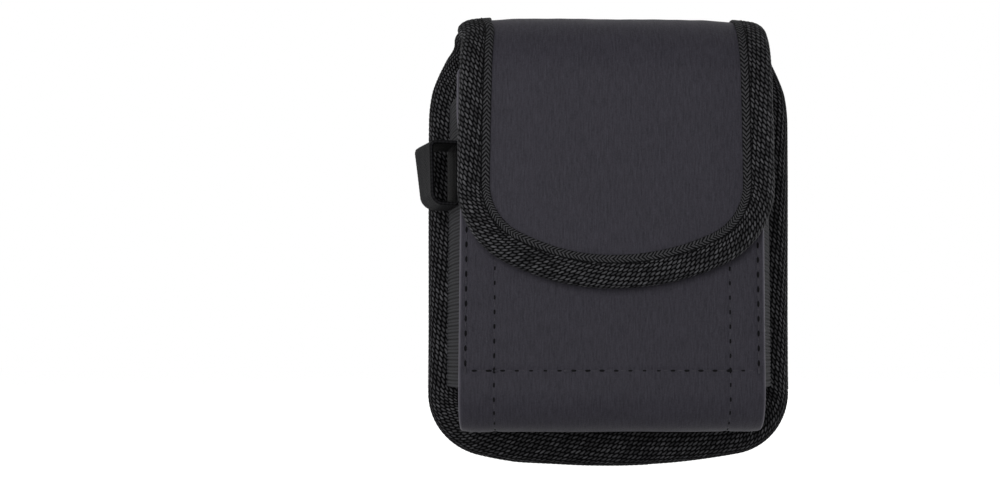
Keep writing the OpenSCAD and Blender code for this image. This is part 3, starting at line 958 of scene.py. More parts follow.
        cx = self.flap_half + self.widen - self.flap_corner_r
        reach = math.sqrt((self.flap_bow - self.flap_corner_r) ** 2 - cx ** 2)
        cs = self.tip - self.flap_bow + reach
        meet = math.asin(cx / (self.flap_bow - self.flap_corner_r))
        station = np.linspace(self.crown, cs, 120)[:-1]
        side = np.stack([self.flap_half - self.flare + (self.flare + self.widen) * smooth(
            station, self.crown, self.crown + self.widen_run), station], -1)
        corner = arc(cx, cs, self.flap_corner_r, math.pi / 2, math.pi - meet, 60)[:-1]
        bow = arc(0.0, self.tip - self.flap_bow, self.flap_bow, math.pi - meet, math.pi, 40)
        return low, np.concatenate([side, corner, bow])


@dataclass(frozen=True)
class Panel:
    """The front panel's surface: down the front, round the fold and back under the pocket."""

    half: float
    top: float
    front_y: float
    seam_y: float
    under_z: float = 9.2
    fold_r: float = 9.5
    rise: float = 5.5
    thick: float = 2.0
    spread: float = 0.03
    spread_s: tuple[float, float] = (9.0, 24.0)
    narrow: float = 0.5

    @classmethod
    def from_frame(cls) -> "Panel":
        """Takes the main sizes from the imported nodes."""
        low, high = case_box("front_cover")
        return cls(half=high[0] - cls.narrow, top=high[2], front_y=low[1], seam_y=high[1])

    @property
    def straight(self) -> float:
        """Length of the upright part."""
        return self.top - self.under_z - self.fold_r

    @property
    def turn(self) -> float:
        """Angle that the fold turns through."""
        return math.radians(90.0 + self.rise)

    @property
    def length(self) -> float:
        """Length of the whole panel."""
        run = self.seam_y - self.front_y - self.fold_r - self.fold_r * math.sin(
            math.radians(self.rise))
        return self.straight + self.fold_r * self.turn + run / math.cos(math.radians(self.rise))

    def place(self, flat: np.ndarray, share: np.ndarray | float,
              extra: np.ndarray | float) -> np.ndarray:
        """Places points of the laid-out panel: x and distance from its top edge."""
        s = flat[..., 1]
        angle = np.clip((s - self.straight) / self.fold_r, 0.0, self.turn)
        rest = np.maximum(s - self.straight - self.fold_r * self.turn, 0.0)
        drop = np.minimum(s, self.straight)
        cy, cz = self.front_y + self.fold_r, self.under_z + self.fold_r
        depth = np.asarray(share) * self.thick + np.asarray(extra)
        radius = self.fold_r - depth
        y = cy - radius * np.cos(angle) + rest * np.sin(angle)
        z = np.where(s < self.straight, self.top - drop, cz - radius * np.sin(angle))
        z = z - rest * np.cos(angle)
        x = flat[..., 0] * (1.0 + self.spread * fade(s, *self.spread_s))
        return np.stack(np.broadcast_arrays(x, y, z), -1)


@dataclass(frozen=True)
class Flat:
    """A flat sheet against the back: x and height, with its depth counted from its outer face."""

    y: float
    thick: float

    def place(self, flat: np.ndarray, share: np.ndarray | float,
              extra: np.ndarray | float) -> np.ndarray:
        """Places points of the sheet."""
        y = self.y - np.asarray(share) * self.thick - np.asarray(extra)
        return np.stack(np.broadcast_arrays(flat[..., 0], y, flat[..., 1]), -1)


Surface = Strip | Panel | Flat


@dataclass(frozen=True)
class Outline:
    """A closed edge on a laid-out surface, with its inward normals and its middle line."""

    points: np.ndarray
    inward: np.ndarray
    spine: np.ndarray
    along: np.ndarray

    @classmethod
    def closed(cls, points: np.ndarray, ends: tuple[float, float]) -> "Outline":
        """Finishes an edge that runs anticlockwise and repeats its first point at its end.

        Args:
            points: x and station.
            ends: lowest and highest station of the middle line.

        Returns:
            The outline.
        """
        tangent = unit(slopes(points, 0, True))
        inward = np.stack([-tangent[:, 1], tangent[:, 0]], -1)
        spine = np.stack([np.zeros(len(points)), np.clip(points[:, 1], *ends)], -1)
        return cls(points, inward, spine, distances(points))

    def ring(self, inset: float, share: float) -> np.ndarray:
        """The edge drawn in by inset, then moved by a share of the way to the middle line."""
        drawn = self.points + self.inward * inset
        return drawn + (self.spine - drawn) * share

    def part(self, first: int, last: int) -> "Outline":
        """A stretch of the edge, round its end where last is less than first."""
        count = len(self.points) - 1
        picked = np.arange(first, last + 1 if last > first else last + 1 + count) % count
        total = self.along[-1]
        along = self.along[picked] + total * (np.arange(len(picked)) + first >= count)
        return Outline(self.points[picked], self.inward[picked], self.spine[picked], along)


def even(points: np.ndarray, count: int) -> np.ndarray:
    """Spreads points evenly along a line.

    Args:
        points: the line's points.
        count: number of stretches.

    Returns:
        count + 1 points.
    """
    run = distances(points)
    at = np.linspace(0.0, run[-1], count + 1)
    return np.stack([np.interp(at, run, points[:, i]) for i in range(2)], -1)


def strip_outline(strip: Strip, spacing: float) -> tuple[Outline, int, int]:
    """Edge of the whole strip.

    Args:
        strip: the strip.
        spacing: distance between points.

    Returns:
        The outline, and the places of the right and the left end of the crown in it.
    """
    low, high = strip.half_outline()
    counts = [max(8, round(float(distances(half)[-1]) / spacing)) for half in (low, high)]
    right = np.concatenate([even(low, counts[0])[:-1], even(high, counts[1])])
    loop = np.concatenate([right, strip.lean(right[::-1][1:] * [-1.0, 1.0])])
    outline = Outline.closed(loop, (strip.width / 2, strip.tip - strip.flap_half))
    return outline, counts[0], counts[0] + 2 * counts[1]


Relief = Callable[[np.ndarray, np.ndarray], np.ndarray]


@dataclass(frozen=True)
class Rings:
    """Rings of a closed pillow, from the middle of its outer side round its edge and back.

    Each row holds the inset from the edge, the share of the way to the middle line, the share of
    the thickness, the extra depth and how much of the outer relief the ring takes.
    """

    rows: tuple[tuple[float, float, float, float, float], ...]

    @classmethod
    def pillow(cls, outer: Sequence[float], inner: Sequence[float], edge: float,
               inward: int, outer_at: tuple[float, float], inner_at: tuple[float, float],
               rounding: float = 0.3) -> "Rings":
        """Makes the rings of a layer.

        Args:
            outer: insets of the outer side, rising from the edge.
            inner: insets of the inner side, rising from the edge.
            edge: inset of the layer's own edge.
            inward: number of rings from the last inset to the middle line.
            outer_at: share of the thickness and extra depth of the outer side.
            inner_at: share of the thickness and extra depth of the inner side.
            rounding: how far the edge's two arrises are rounded.

        Returns:
            The rings.
        """
        shares = [k / inward for k in range(1, inward + 1)]
        thick, depth = outer_at
        rows = [(outer[-1], share, thick, depth, 1.0) for share in reversed(shares)]
        rows += [(value, 0.0, thick, depth, 1.0) for value in reversed(outer)]
        rows += [(edge + rounding * 0.3, 0.0, thick, depth + rounding * 0.3, 1.0),
                 (edge, 0.0, thick, depth + rounding, 0.5),
                 (edge, 0.0, inner_at[0], inner_at[1] - rounding, 0.0),
                 (edge + rounding * 0.3, 0.0, inner_at[0], inner_at[1] - rounding * 0.3, 0.0)]
        rows += [(value, 0.0, *inner_at, 0.0) for value in inner]
        rows += [(inner[-1], share, *inner_at, 0.0) for share in shares[1::2]]
        if inward % 2:
            rows.append((inner[-1], 1.0, *inner_at, 0.0))
        return cls(tuple(rows))


def pillow(name: str, surface: Surface, outline: Outline, rings: Rings,
           relief: Relief | None = None, inner_relief: Relief | None = None) -> bpy.types.Object:
    """Lays a closed layer over a surface, ring by ring.

    Args:
        name: name of the piece.
        surface: the surface that it follows.
        outline: its edge on that surface.
        rings: its rings.
        relief: extra depth of the outer side, from the laid-out points and their insets.
        inner_relief: the same for the inner side.

    Returns:
        The piece.
    """
    grids, uvs = [], []
    for inset, share, thick, extra, weight in rings.rows:
        flat = outline.ring(inset, share)
        reach = inset + np.linalg.norm(flat - outline.ring(inset, 0.0), axis=1)
        depth = np.full(len(flat), extra)
        if relief is not None and weight > 0:
            depth = depth + weight * relief(flat, reach)
        if inner_relief is not None and weight == 0:
            depth = depth + inner_relief(flat, reach)
        grids.append(surface.place(flat, thick, depth))
        uvs.append(flat)
    return grid_piece(name, np.stack(grids, 1), uv=np.stack(uvs, 1))


def spaced(length: float, step: float, edge: float) -> np.ndarray:
    """Places from 0 to a length, closer together within edge of both ends."""
    close = edge * np.array([0.0, 0.04, 0.15, 0.32, 0.6, 1.0])
    count = max(2, round((length - 2 * edge) / step))
    middle = np.linspace(edge, length - edge, count + 1)[1:-1]
    return np.concatenate([close, middle, length - close[::-1]])


@dataclass(frozen=True)
class Slab:
    """A sheet with straight sides, rounded corners and rounded arrises on a laid-out surface."""

    half: float
    low: float
    high: float
    outer_at: float
    inner_at: float
    corner: float = 1.2
    rounding: float = 0.5
    step: float = 0.5
    # rim: strength of the painted highlight along the outer side's rounded edges, kept as the
    # mesh's tone
    rim: float = 0.0
    rim_highlight_at: tuple[float, float] = (0.2, 0.6)
    under_roll: float = 0.6

    def build(self, name: str, surface: Surface, relief: Relief | None = None,
              under: Relief | None = None) -> bpy.types.Object:
        """Makes the sheet.

        Args:
            name: name of the piece.
            surface: the surface that it lies on.
            relief: extra depth of the outer side, from the laid-out points and their edge distance.
            under: the same for the inner side.

        Returns:
            The piece.
        """
        across = spaced(2 * self.half, self.step, self.rounding) / self.half - 1.0
        level = self.low + spaced(self.high - self.low, self.step, self.rounding)
        end = np.minimum(level - self.low, self.high - level)
        near = np.clip(self.corner - end, 0.0, self.corner)
        half = self.half - self.corner + np.sqrt(self.corner ** 2 - near ** 2)
        x = half[:, None] * across[None, :]
        flat = np.stack([x, down_columns(level, len(across))], -1)
        reach = np.minimum(half[:, None] - np.abs(x), end[:, None])
        tight = np.clip(1.0 - reach / self.rounding, 0.0, 1.0)
        roll = self.rounding * (1.0 - np.sqrt(1.0 - tight ** 2))
        outer = self.outer_at + roll
        inner = self.inner_at - self.under_roll * roll
        if relief is not None:
            outer = outer + relief(flat, reach)
        if under is not None:
            inner = inner + under(flat, reach)
        points = np.concatenate([surface.place(flat, 0.0, outer),
                                 surface.place(flat[:, ::-1], 0.0, inner[:, ::-1])], 1)
        loop = np.concatenate([flat, flat[:, ::-1]], 1)
        middle = (self.outer_at + self.inner_at) / 2
        closing = [surface.place(loop[[row]], 0.0, np.full(loop[[row]].shape[:2], middle))
                   for row in (0, -1)]
        points = np.concatenate([closing[0], points, closing[1]])
        uv = np.concatenate([loop[:1], loop, loop[-1:]])
        # painted highlight along the outer side's edges, fading inward; the inner side gets none
        tone = self.rim * fade(reach, *self.rim_highlight_at)
        tone = np.concatenate([tone, np.zeros_like(tone), tone[:, :1]], 1)
        points = np.concatenate([points, points[:, :1]], 1)
        uv = np.concatenate([uv, uv[:, :1]], 1)
        return grid_piece(name, points, uv=uv, tone=tone[[0, *range(len(tone)), -1]])


# Stitches


def stitch_form() -> np.ndarray:
    """One stitch of unit half length and radius: a small capsule, bent down at its ends.

    Returns:
        Rings x 6 x 3 places, along x, with z up.
    """
    turn = np.arange(6) * math.pi / 3
    profile = ((-1.0, 0.0), (-0.86, 0.62), (-0.45, 0.95), (0.0, 1.0), (0.45, 0.95), (0.86, 0.62),
               (1.0, 0.0))
    return np.array([np.stack([np.full(6, along), radius * np.cos(turn),
                               radius * np.sin(turn) - 0.9 * along ** 4], -1)
                     for along, radius in profile])


def stitches(name: str, centres: np.ndarray, tangents: np.ndarray, normals: np.ndarray,
             length: float, radius: float) -> bpy.types.Object:
    """Copies one stitch along a seam, all into one mesh.

    Args:
        name: name of the piece.
        centres: place of each stitch.
        tangents: direction of the seam there.
        normals: outward direction there.
        length: length of a stitch.
        radius: half its thickness.

    Returns:
        The piece.
    """
    form = stitch_form()
    tangents = unit(tangents)
    normals = unit(normals - tangents * (normals * tangents).sum(1, keepdims=True))
    sides = np.cross(normals, tangents)
    x, y, z = form[..., 0] * length / 2, form[..., 1] * radius, form[..., 2] * radius
    points = (centres[:, None, None] + x[..., None] * tangents[:, None, None]
              + y[..., None] * sides[:, None, None] + z[..., None] * normals[:, None, None])
    count, rings, around = points.shape[:3]
    index = np.arange(count * rings * around).reshape(count, rings, around)
    a = index[:, :-1]
    b = np.roll(a, -1, 2)
    d = index[:, 1:]
    c = np.roll(d, -1, 2)
    faces = np.stack([a, b, c, d], -1).reshape(-1, 4)
    mesh = bpy.data.meshes.new(name)
    mesh.from_pydata(to_row(points.reshape(-1, 3)).tolist(), [], faces.tolist())
    piece = add_object(name, mesh)
    weld(piece)
    bpy.ops.object.shade_smooth()
    return piece


def seam(surface: Surface, flat: np.ndarray, share: float, extra: float | np.ndarray,
         pitch: float) -> tuple[np.ndarray, np.ndarray, np.ndarray]:
    """Spaces stitches evenly along a line on a surface.

    Args:
        surface: the surface.
        flat: the line on the laid-out surface.
        share: share of the thickness that the seam lies at.
        extra: depth of the seam.
        pitch: distance from stitch to stitch.

    Returns:
        Centres, tangents and outward normals.
    """
    count = max(2, round(float(distances(flat)[-1]) / pitch))
    fine = even(flat, 2 * count)
    at = surface.place(fine, share, extra)
    above = surface.place(fine, share, np.asarray(extra) - 1.0)
    sign = 1.0 if share < 0.5 else -1.0
    return at[1::2], at[2::2] - at[:-2:2], sign * (above - at)[1::2]


def sew(name: str, seams: Sequence[tuple[np.ndarray, np.ndarray, np.ndarray]], length: float,
        radius: float) -> bpy.types.Object:
    """Makes the stitches of several seams as one piece."""
    return stitches(name, *(np.concatenate(rows) for rows in zip(*seams)), length, radius)


# The twill of the binding tape


@dataclass(frozen=True)
class Twill:
    """Coarse twill: rows of floats at a slant to the tape, and a herringbone margin."""

    tilt: float = 30.0
    long: float = 1.75
    wide: float = 0.62
    step: float = 1.90
    row: float = 0.66
    shift: float = 0.95
    margin: float = 2.4
    chevron: float = 1.15
    stroke: float = 1.05
    height: float = 0.12
    drift: float = 0.55
    power: float = 2.6
    margin_h: float = 0.45
    groove: float = 0.10
    groove_w: float = 0.35

    def floats(self, along: np.ndarray, across: np.ndarray) -> np.ndarray:
        """Height of the floats, from 0 between them to 1 on their tops.

        Args:
            along: distance along the tape.
            across: distance across it.

        Returns:
            One height for each place.
        """
        tilt = math.radians(self.tilt)
        u = along * math.cos(tilt) + across * math.sin(tilt)
        v = across * math.cos(tilt) - along * math.sin(tilt)
        row = np.round(v / self.row)
        side = v - row * self.row
        shifted = u - row * self.shift
        run = shifted - np.round(shifted / self.step) * self.step
        swell = np.abs(2 * run / self.long) ** self.power + (2 * side / self.wide) ** 2
        crest = np.sqrt(np.maximum(1.0 - swell, 0.0))
        return np.where(across > self.margin, crest, self.margin_h)


@dataclass
class BindingTape:
    """The twill tape that grips the strip's edge from both faces.

    At the lower edge the tape's end laps over its start, and at the crown it droops inward.
    """

    strip: Strip
    width: float = 8.0
    spacing: float = 0.35
    wrap: float = 3.2
    squareness: float = 2.1
    proud: float = 0.6
    narrowing: float = 0.12
    lap: tuple[float, float] = (-23.5, 10.5)
    lap_rise: float = 0.06
    lap_slant: float = 0.25
    lap_step: float = 0.4
    lap_z: float = 20.0
    droop: float = 1.1
    droop_run: float = 13.0
    stitch_inset: float = 5.4
    stitch_pitch: float = 2.7

    def section(self, edge_rings: int, thick: float) -> np.ndarray:
        """Cross-section from the outer margin round the edge to the inner margin, and back inside.

        Args:
            edge_rings: number of rings round the edge.
            thick: thickness of the strip that the distances across are counted for.

        Returns:
            Rows of inset, share of the thickness, extra depth, weave height and distance across.
        """
        proud, wide = self.proud, self.width
        rows = [(wide - 0.1, 0.0, 0.1, 0.0), (wide, 0.0, 0.1 - proud / 2, 0.3),
                (wide - 0.12, 0.0, 0.1 - proud, 0.8)]
        rows += [(inset, 0.0, -proud, 1.0) for inset in np.linspace(wide - 0.3, self.wrap, 32)]
        power = 2.0 / self.squareness
        for angle in np.radians(np.linspace(-90.0, 90.0, edge_rings + 2))[1:-1]:
            lift = math.copysign(abs(math.sin(angle)) ** power, angle)
            inset = self.wrap * (1.0 - math.cos(angle) ** power)
            rows.append((inset, 0.5 + 0.5 * lift, proud * lift, 1.0))
        rows += [(inset, 1.0, proud, 1.0) for inset in np.linspace(self.wrap, wide - 0.2, 12)]
        rows += [(wide, 1.0, proud / 2, 0.3), (wide - 0.1, 1.0, -0.1, 0.0),
                 (self.wrap + 1.5, 0.8, 0.0, 0.0), (self.wrap + 1.2, 0.2, 0.0, 0.0),
                 (wide - 0.1, 0.0, 0.1, 0.0)]
        found = np.array(rows)
        spots = np.stack([found[:, 0], found[:, 1] * thick + found[:, 2]], -1)
        across = distances(spots)
        return np.column_stack([found, np.maximum(across - across[2], 0.0)])

    def ribbon(self, name: str, stretch: Outline, edge_rings: int, thick: float,
               lapped: bool) -> bpy.types.Object:
        """Sweeps the cross-section along a stretch of the edge.

        Args:
            name: name of the piece.
            stretch: the stretch of the edge.
            edge_rings: number of rings round the edge.
            thick: thickness of the strip there.
            lapped: whether the tape's end lies over its start on this stretch.

        Returns:
            The piece.
        """
        rows = self.section(edge_rings, thick)
        station = stretch.points[:, 1]
        narrow = 1.0 - self.narrowing * smooth(station, self.strip.arch_z, self.strip.fore)
        crown = pit(station - self.strip.crown, self.droop_run)
        grids = []
        for inset, share, extra, _, _ in rows:
            drawn = np.minimum(inset, self.wrap) + max(inset - self.wrap, 0.0) * narrow
            flat = stretch.points + stretch.inward * drawn[:, None]
            near = max(0.0, 1.0 - inset / self.width) ** 1.5 * (1.0 - share)
            grids.append(self.strip.place(flat, share, extra + self.droop * near * crown))
        points = np.stack(grids, 1)
        along = down_columns(stretch.along, len(rows))
        across = across_rows(rows[:, 4], len(station))
        weight = rows[None, :, 3]
        normal = unit(np.cross(slopes(points, 0, False), slopes(points, 1, True)))
        middle = self.strip.place(stretch.ring(self.width / 2, 0.0), 0.5, 0.0)
        inside = ((points - middle[:, None]) * normal).sum(2, keepdims=True) < 0
        normal = np.where(inside, -normal, normal)
        twill = Twill()
        rise = twill.height * twill.floats(along, across)
        rise -= twill.groove * pit(across - twill.margin, twill.groove_w)
        if lapped:
            x = stretch.points[:, :1] + self.lap_slant * (across - self.width)
            edge = smooth(x, self.lap[0], self.lap[0] + self.lap_step) * fade(
                x, self.lap[1] - self.lap_step, self.lap[1])
            rise += self.lap_rise * edge * (stretch.points[:, 1:] < self.lap_z)
        points = points + normal * (rise * weight)[..., None]
        piece = grid_piece(name, points, uv=np.stack([along, across], -1), closed=False)
        self.cap(piece)
        return piece

    @staticmethod
    def cap(piece: bpy.types.Object) -> None:
        """Closes the two open ends of a ribbon and turns its faces outward."""
        with editing(piece):
            bpy.ops.mesh.select_mode(type="EDGE")
            bpy.ops.mesh.select_all(action="DESELECT")
            bpy.ops.mesh.select_non_manifold(extend=False, use_wire=False, use_multi_face=False,
                                             use_non_contiguous=False, use_verts=False)
            bpy.ops.mesh.edge_face_add()
            bpy.ops.mesh.select_all(action="SELECT")
            bpy.ops.mesh.normals_make_consistent(inside=False)
            bpy.ops.mesh.select_mode(type="VERT")

    def build(self, finishes: Finishes) -> list[bpy.types.Object]:
        """Makes the tape of the back, the tape of the flap and their stitches."""
        outline, right, left = strip_outline(self.strip, self.spacing)
        back = self.ribbon("back_tape", outline.part(left, right), 52, self.strip.back, True)
        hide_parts("back_binding")
        flap = self.ribbon("flap_tape", outline.part(right, left), 34, self.strip.flap, False)
        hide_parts("flap_binding")
        loop = outline.ring(self.stitch_inset, 0.0)
        outside = seam(self.strip, loop, 0.0, 0.1 - self.proud, self.stitch_pitch)
        inside = seam(self.strip, loop, 1.0, self.proud - 0.1, self.stitch_pitch)
        threads = [sew("tape_stitches", [outside], 1.7, 0.15),
                   sew("tape_stitches_inside", [inside], 1.7, 0.15)]
        for piece in (back, flap):
            finish_piece(piece, finishes.tape, Slot.TAPE)
        for piece in threads:
            finish_piece(piece, finishes.thread, Slot.TAPE)
        return [back, flap, *threads]


def over_arch(piece: bpy.types.Object) -> None:
    """Bakes the placement of a piece of the strip into its mesh."""
    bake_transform(piece)


@dataclass
class Shell:
    """The padded strip's cover, padding and lining, without its tape."""

    strip: Strip
    patch_half: float
    patch_low: float
    patch_high: float
    tape: float = 8.0
    puff: float = 0.55
    back_puff: float = 0.8
    crown_run: float = 10.0
    cover: float = 1.2
    lining: float = 0.8
    waves: tuple[float, float] = (0.05, 0.02)

    def relief(self, flat: np.ndarray, reach: np.ndarray) -> np.ndarray:
        """Swell of the padded cover, its dip along the tape and its soft wrinkles."""
        x, s = flat[..., 0], flat[..., 1]
        swell = self.puff * smooth(reach, self.tape - 1.5, self.tape + 7.5)
        dx = np.maximum(np.abs(x) - self.patch_half, 0.0)
        ds = np.maximum(np.maximum(self.patch_low - s, s - self.patch_high), 0.0)
        under = smooth(np.hypot(dx, ds), 0.3, 6.5)
        back = self.back_puff * under
        swell = swell * (back + (1.0 - back) * smooth(
            s, self.strip.crown - self.crown_run, self.strip.crown + self.crown_run))
        wrinkle = self.waves[0] * np.sin(x * 0.31 + 1.3 * np.sin(s * 0.06) + 0.5)
        wrinkle *= np.sin(s * 0.09 + 0.8)
        wrinkle += self.waves[1] * np.sin(x * 1.1 - 1.8 * np.sin(s * 0.13 + 2.0) + 1.1)
        wrinkle *= smooth(reach, self.tape, self.tape + 4.0) * under
        return -(swell + wrinkle)

    def build(self, finishes: Finishes) -> list[bpy.types.Object]:
        """Makes the cover, the padding and the lining."""
        outline, _, _ = strip_outline(self.strip, 0.9)
        fine = [4.6, 5.4, 6.2, 6.8, 7.3, 7.7, 8.1, 8.6, 9.2, 10.0, 11.0, 12.0]
        cover = pillow("cover", self.strip, outline,
                       Rings.pillow(fine, [5.0, 8.0, 12.0], 4.2, 30, (0.0, 0.0),
                                    (0.0, self.cover)),
                       self.relief, self.relief)
        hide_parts("back_cover", "flap_cover")
        outline, _, _ = strip_outline(self.strip, 2.0)
        padding = pillow("padding", self.strip, outline,
                         Rings.pillow([4.5, 6.0, 8.0, 10.0, 12.0], [4.5, 8.0, 12.0], 3.6, 12,
                                      (0.0, self.cover + 0.05), (1.0, -self.lining - 0.05), 0.5),
                         self.relief)
        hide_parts("back_padding", "flap_padding")
        lining = pillow("lining", self.strip, outline,
                        Rings.pillow([4.6, 8.0, 12.0], [4.6, 8.0, 12.0], 4.2, 12,
                                     (1.0, -self.lining), (1.0, 0.0), 0.2))
        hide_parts("back_lining", "flap_lining")
        finish_piece(cover, finishes.leatherette, Slot.LEATHERETTE)
        finish_piece(padding, finishes.foam, Slot.FOAM)
        finish_piece(lining, finishes.lining, Slot.LINING)
        return [cover, padding, lining]


@dataclass
class FrontPanel:
    """The front panel: folded leatherette, its lining and its seams."""

    panel: Panel
    seam_edge: float = 1.6
    seam_x: float = 26.9
    seam_z: float = 23.2
    pitch: float = 3.3
    sunk: float = 0.10
    fold: float = 6.0
    lining: float = 0.8
    groove: float = 0.26
    inner_groove: float = 0.22
    level_groove: float = 0.24
    swell: float = 0.25
    wave: float = 0.07

    @property
    def seam_s(self) -> float:
        """Station of the level seam."""
        return self.panel.top - self.seam_z

    def relief(self, flat: np.ndarray, reach: np.ndarray) -> np.ndarray:
        """Grooves of the seams and soft waves of the panel."""
        x, s = flat[..., 0], flat[..., 1]
        upper = fade(s, self.seam_s - 0.2, self.seam_s + 1.0)
        edge = self.panel.half - self.seam_edge
        groove = self.groove * pit(np.abs(x) - edge, 0.6) * upper
        groove += self.inner_groove * pit(np.abs(x) - self.seam_x, 0.7)
        groove += self.level_groove * pit(s - self.seam_s, 0.65) * (np.abs(x) < edge + 1.0)
        swell = self.swell * smooth(reach, 0.0, 3.0)
        wave = self.wave * np.sin(x * 0.25 + 0.6 * np.sin(s * 0.08)) * np.sin(s * 0.11 + 0.4)
        return groove - swell - wave * smooth(reach, 1.0, 6.0)

    def lines(self, shift: float = 0.0) -> list[np.ndarray]:
        """The seams as lines on the laid-out panel, each started a little further on."""
        edge, half = self.panel.half - self.seam_edge, self.panel.half
        upright = [(side * x, start, end) for side in (-1.0, 1.0)
                   for x, start, end in ((edge, 2.4, self.seam_s),
                                         (self.seam_x, 2.0, self.panel.length - 3.5))]
        found = [np.array([[x, start + shift], [x, end + shift]]) for x, start, end in upright]
        level = [[-half + 2.0 + shift, self.seam_s], [half - 3.6 + shift, self.seam_s]]
        return [*found, np.array(level)]

    def seams(self, shift: float = 0.0) -> list[tuple[np.ndarray, np.ndarray, np.ndarray]]:
        """Spaces the stitches of every seam of the panel."""
        return [seam(self.panel, even(line, 60), 0.0, self.sunk, self.pitch)
                for line in self.lines(shift)]

    def fold_step(self, flat: np.ndarray, _reach: np.ndarray) -> np.ndarray:
        """The inner side is thinner inside the folded margin, where the lining lies."""
        side = np.abs(flat[..., 0]) < self.panel.half - self.fold + 0.1
        top = flat[..., 1] > self.fold - 0.1
        return np.where(side & top, -self.lining - 0.05, 0.0)

    def build(self, finishes: Finishes) -> None:
        """Makes the panel, its lining and its stitches."""
        panel = self.panel
        # rim paints a highlight along the panel's folded edges
        cover = Slab(panel.half, 0.0, panel.length, 0.0, panel.thick, 1.7, 0.7, rim=0.9).build(
            "front_leatherette", panel, self.relief, self.fold_step)
        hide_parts("front_cover")
        inside = panel.thick - self.lining
        lining = Slab(panel.half - self.fold, self.fold, panel.length - 0.1, inside, panel.thick,
                      1.7, 0.2, 1.5).build("front_cloth", panel)
        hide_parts("front_lining")
        holes = sew("front_needle_ends", self.seams(), 1.6, 0.30)
        thread = sew("front_stitches", self.seams(self.pitch / 2), self.pitch - 1.2, 0.24)
        finish_piece(cover, finishes.leatherette, Slot.LEATHERETTE, Body.CASE)
        finish_piece(lining, finishes.lining, Slot.LINING, Body.CASE)
        finish_piece(holes, finishes.thread, Slot.LEATHERETTE, Body.CASE)
        # the thread between the holes carries a painted highlight
        finish_piece(thread, finishes.thread_painted_highlight, Slot.LEATHERETTE, Body.CASE)


class Side(Enum):
    """The two sides of the case."""

    LEFT = -1
    RIGHT = 1


@dataclass
class ElasticSide:
    """A ribbed elastic gusset."""

    side: Side
    root: float
    front_y: float
    low: float
    high: float
    depth: float = 19.6
    flare: float = 4.8
    thick: float = 1.2
    ribs: int = 43
    rib_h: float = 0.14
    bump: float = 0.83
    bump_h: float = 0.20
    bow: float = 0.5

    @property
    def turn(self) -> float:
        """Angle at which the elastic spreads, in radians."""
        return math.atan(self.flare / self.depth)

    def place(self, run: np.ndarray, level: np.ndarray, out: np.ndarray) -> np.ndarray:
        """Places points of the elastic: distance back, height, and distance outward."""
        c, s = math.cos(self.turn), math.sin(self.turn)
        x = self.root + run * s + out * c
        y = self.front_y + run * c - out * s
        return np.stack(np.broadcast_arrays(self.side.value * x, y, level), -1)

    def build(self, finishes: Finishes) -> None:
        """Makes the elastic with its ribs and the small bumps along them."""
        length = self.depth / math.cos(self.turn)
        face = [*np.linspace(0.1, length - 0.1, 122), length]
        rear = [length, *np.linspace(length, 0.0, 8), 0.0]
        around = np.array([0.0, *face, *rear])
        outer = np.array([[0.0, *np.ones(len(face)), *np.zeros(len(rear))]])
        phase = np.linspace(0.0, self.ribs, self.ribs * 8 + 1)[:, None]
        levels = self.low + (self.high - self.low) * phase / self.ribs
        rib = np.abs(np.sin(math.pi * phase)) ** 0.45
        row = np.abs(np.sin(2 * math.pi * phase)) ** 0.7
        stagger = 0.5 * (np.floor(2 * phase) % 2)
        bumps = np.abs(np.sin(math.pi * (around / self.bump + stagger)))
        grid = row * (0.45 + 0.55 * bumps)
        # tone: painted highlight on the tops of the ribs and bumps, painted shade between them; the
        # inner face gets 0, the dark colour
        tone = (0.4 + 0.6 * rib) * (0.12 + 0.88 * grid) * outer
        rise = self.rib_h * rib + self.bump_h * grid - self.rib_h
        bow = self.bow * np.sin(math.pi * np.clip(around / length, 0.0, 1.0))
        body = self.place(around, levels, np.where(outer > 0, rise, -self.thick) + bow)
        ends = [self.place(around, level, -self.thick / 2 + bow)[None]
                for level in (self.low, self.high)]
        points = np.concatenate([ends[0], body, ends[1]])
        tone = np.concatenate([tone[:1], tone, tone[-1:]])
        uv = np.stack([across_rows(around, len(points)), points[..., 2]], -1)
        side = self.side.name.lower()
        piece = grid_piece(f"{side}_elastic", points, uv=uv, tone=tone, closed=False)
        BindingTape.cap(piece)
        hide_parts(f"{side}_gusset")
        finish_piece(piece, finishes.elastic, Slot.ELASTIC, Body.CASE)


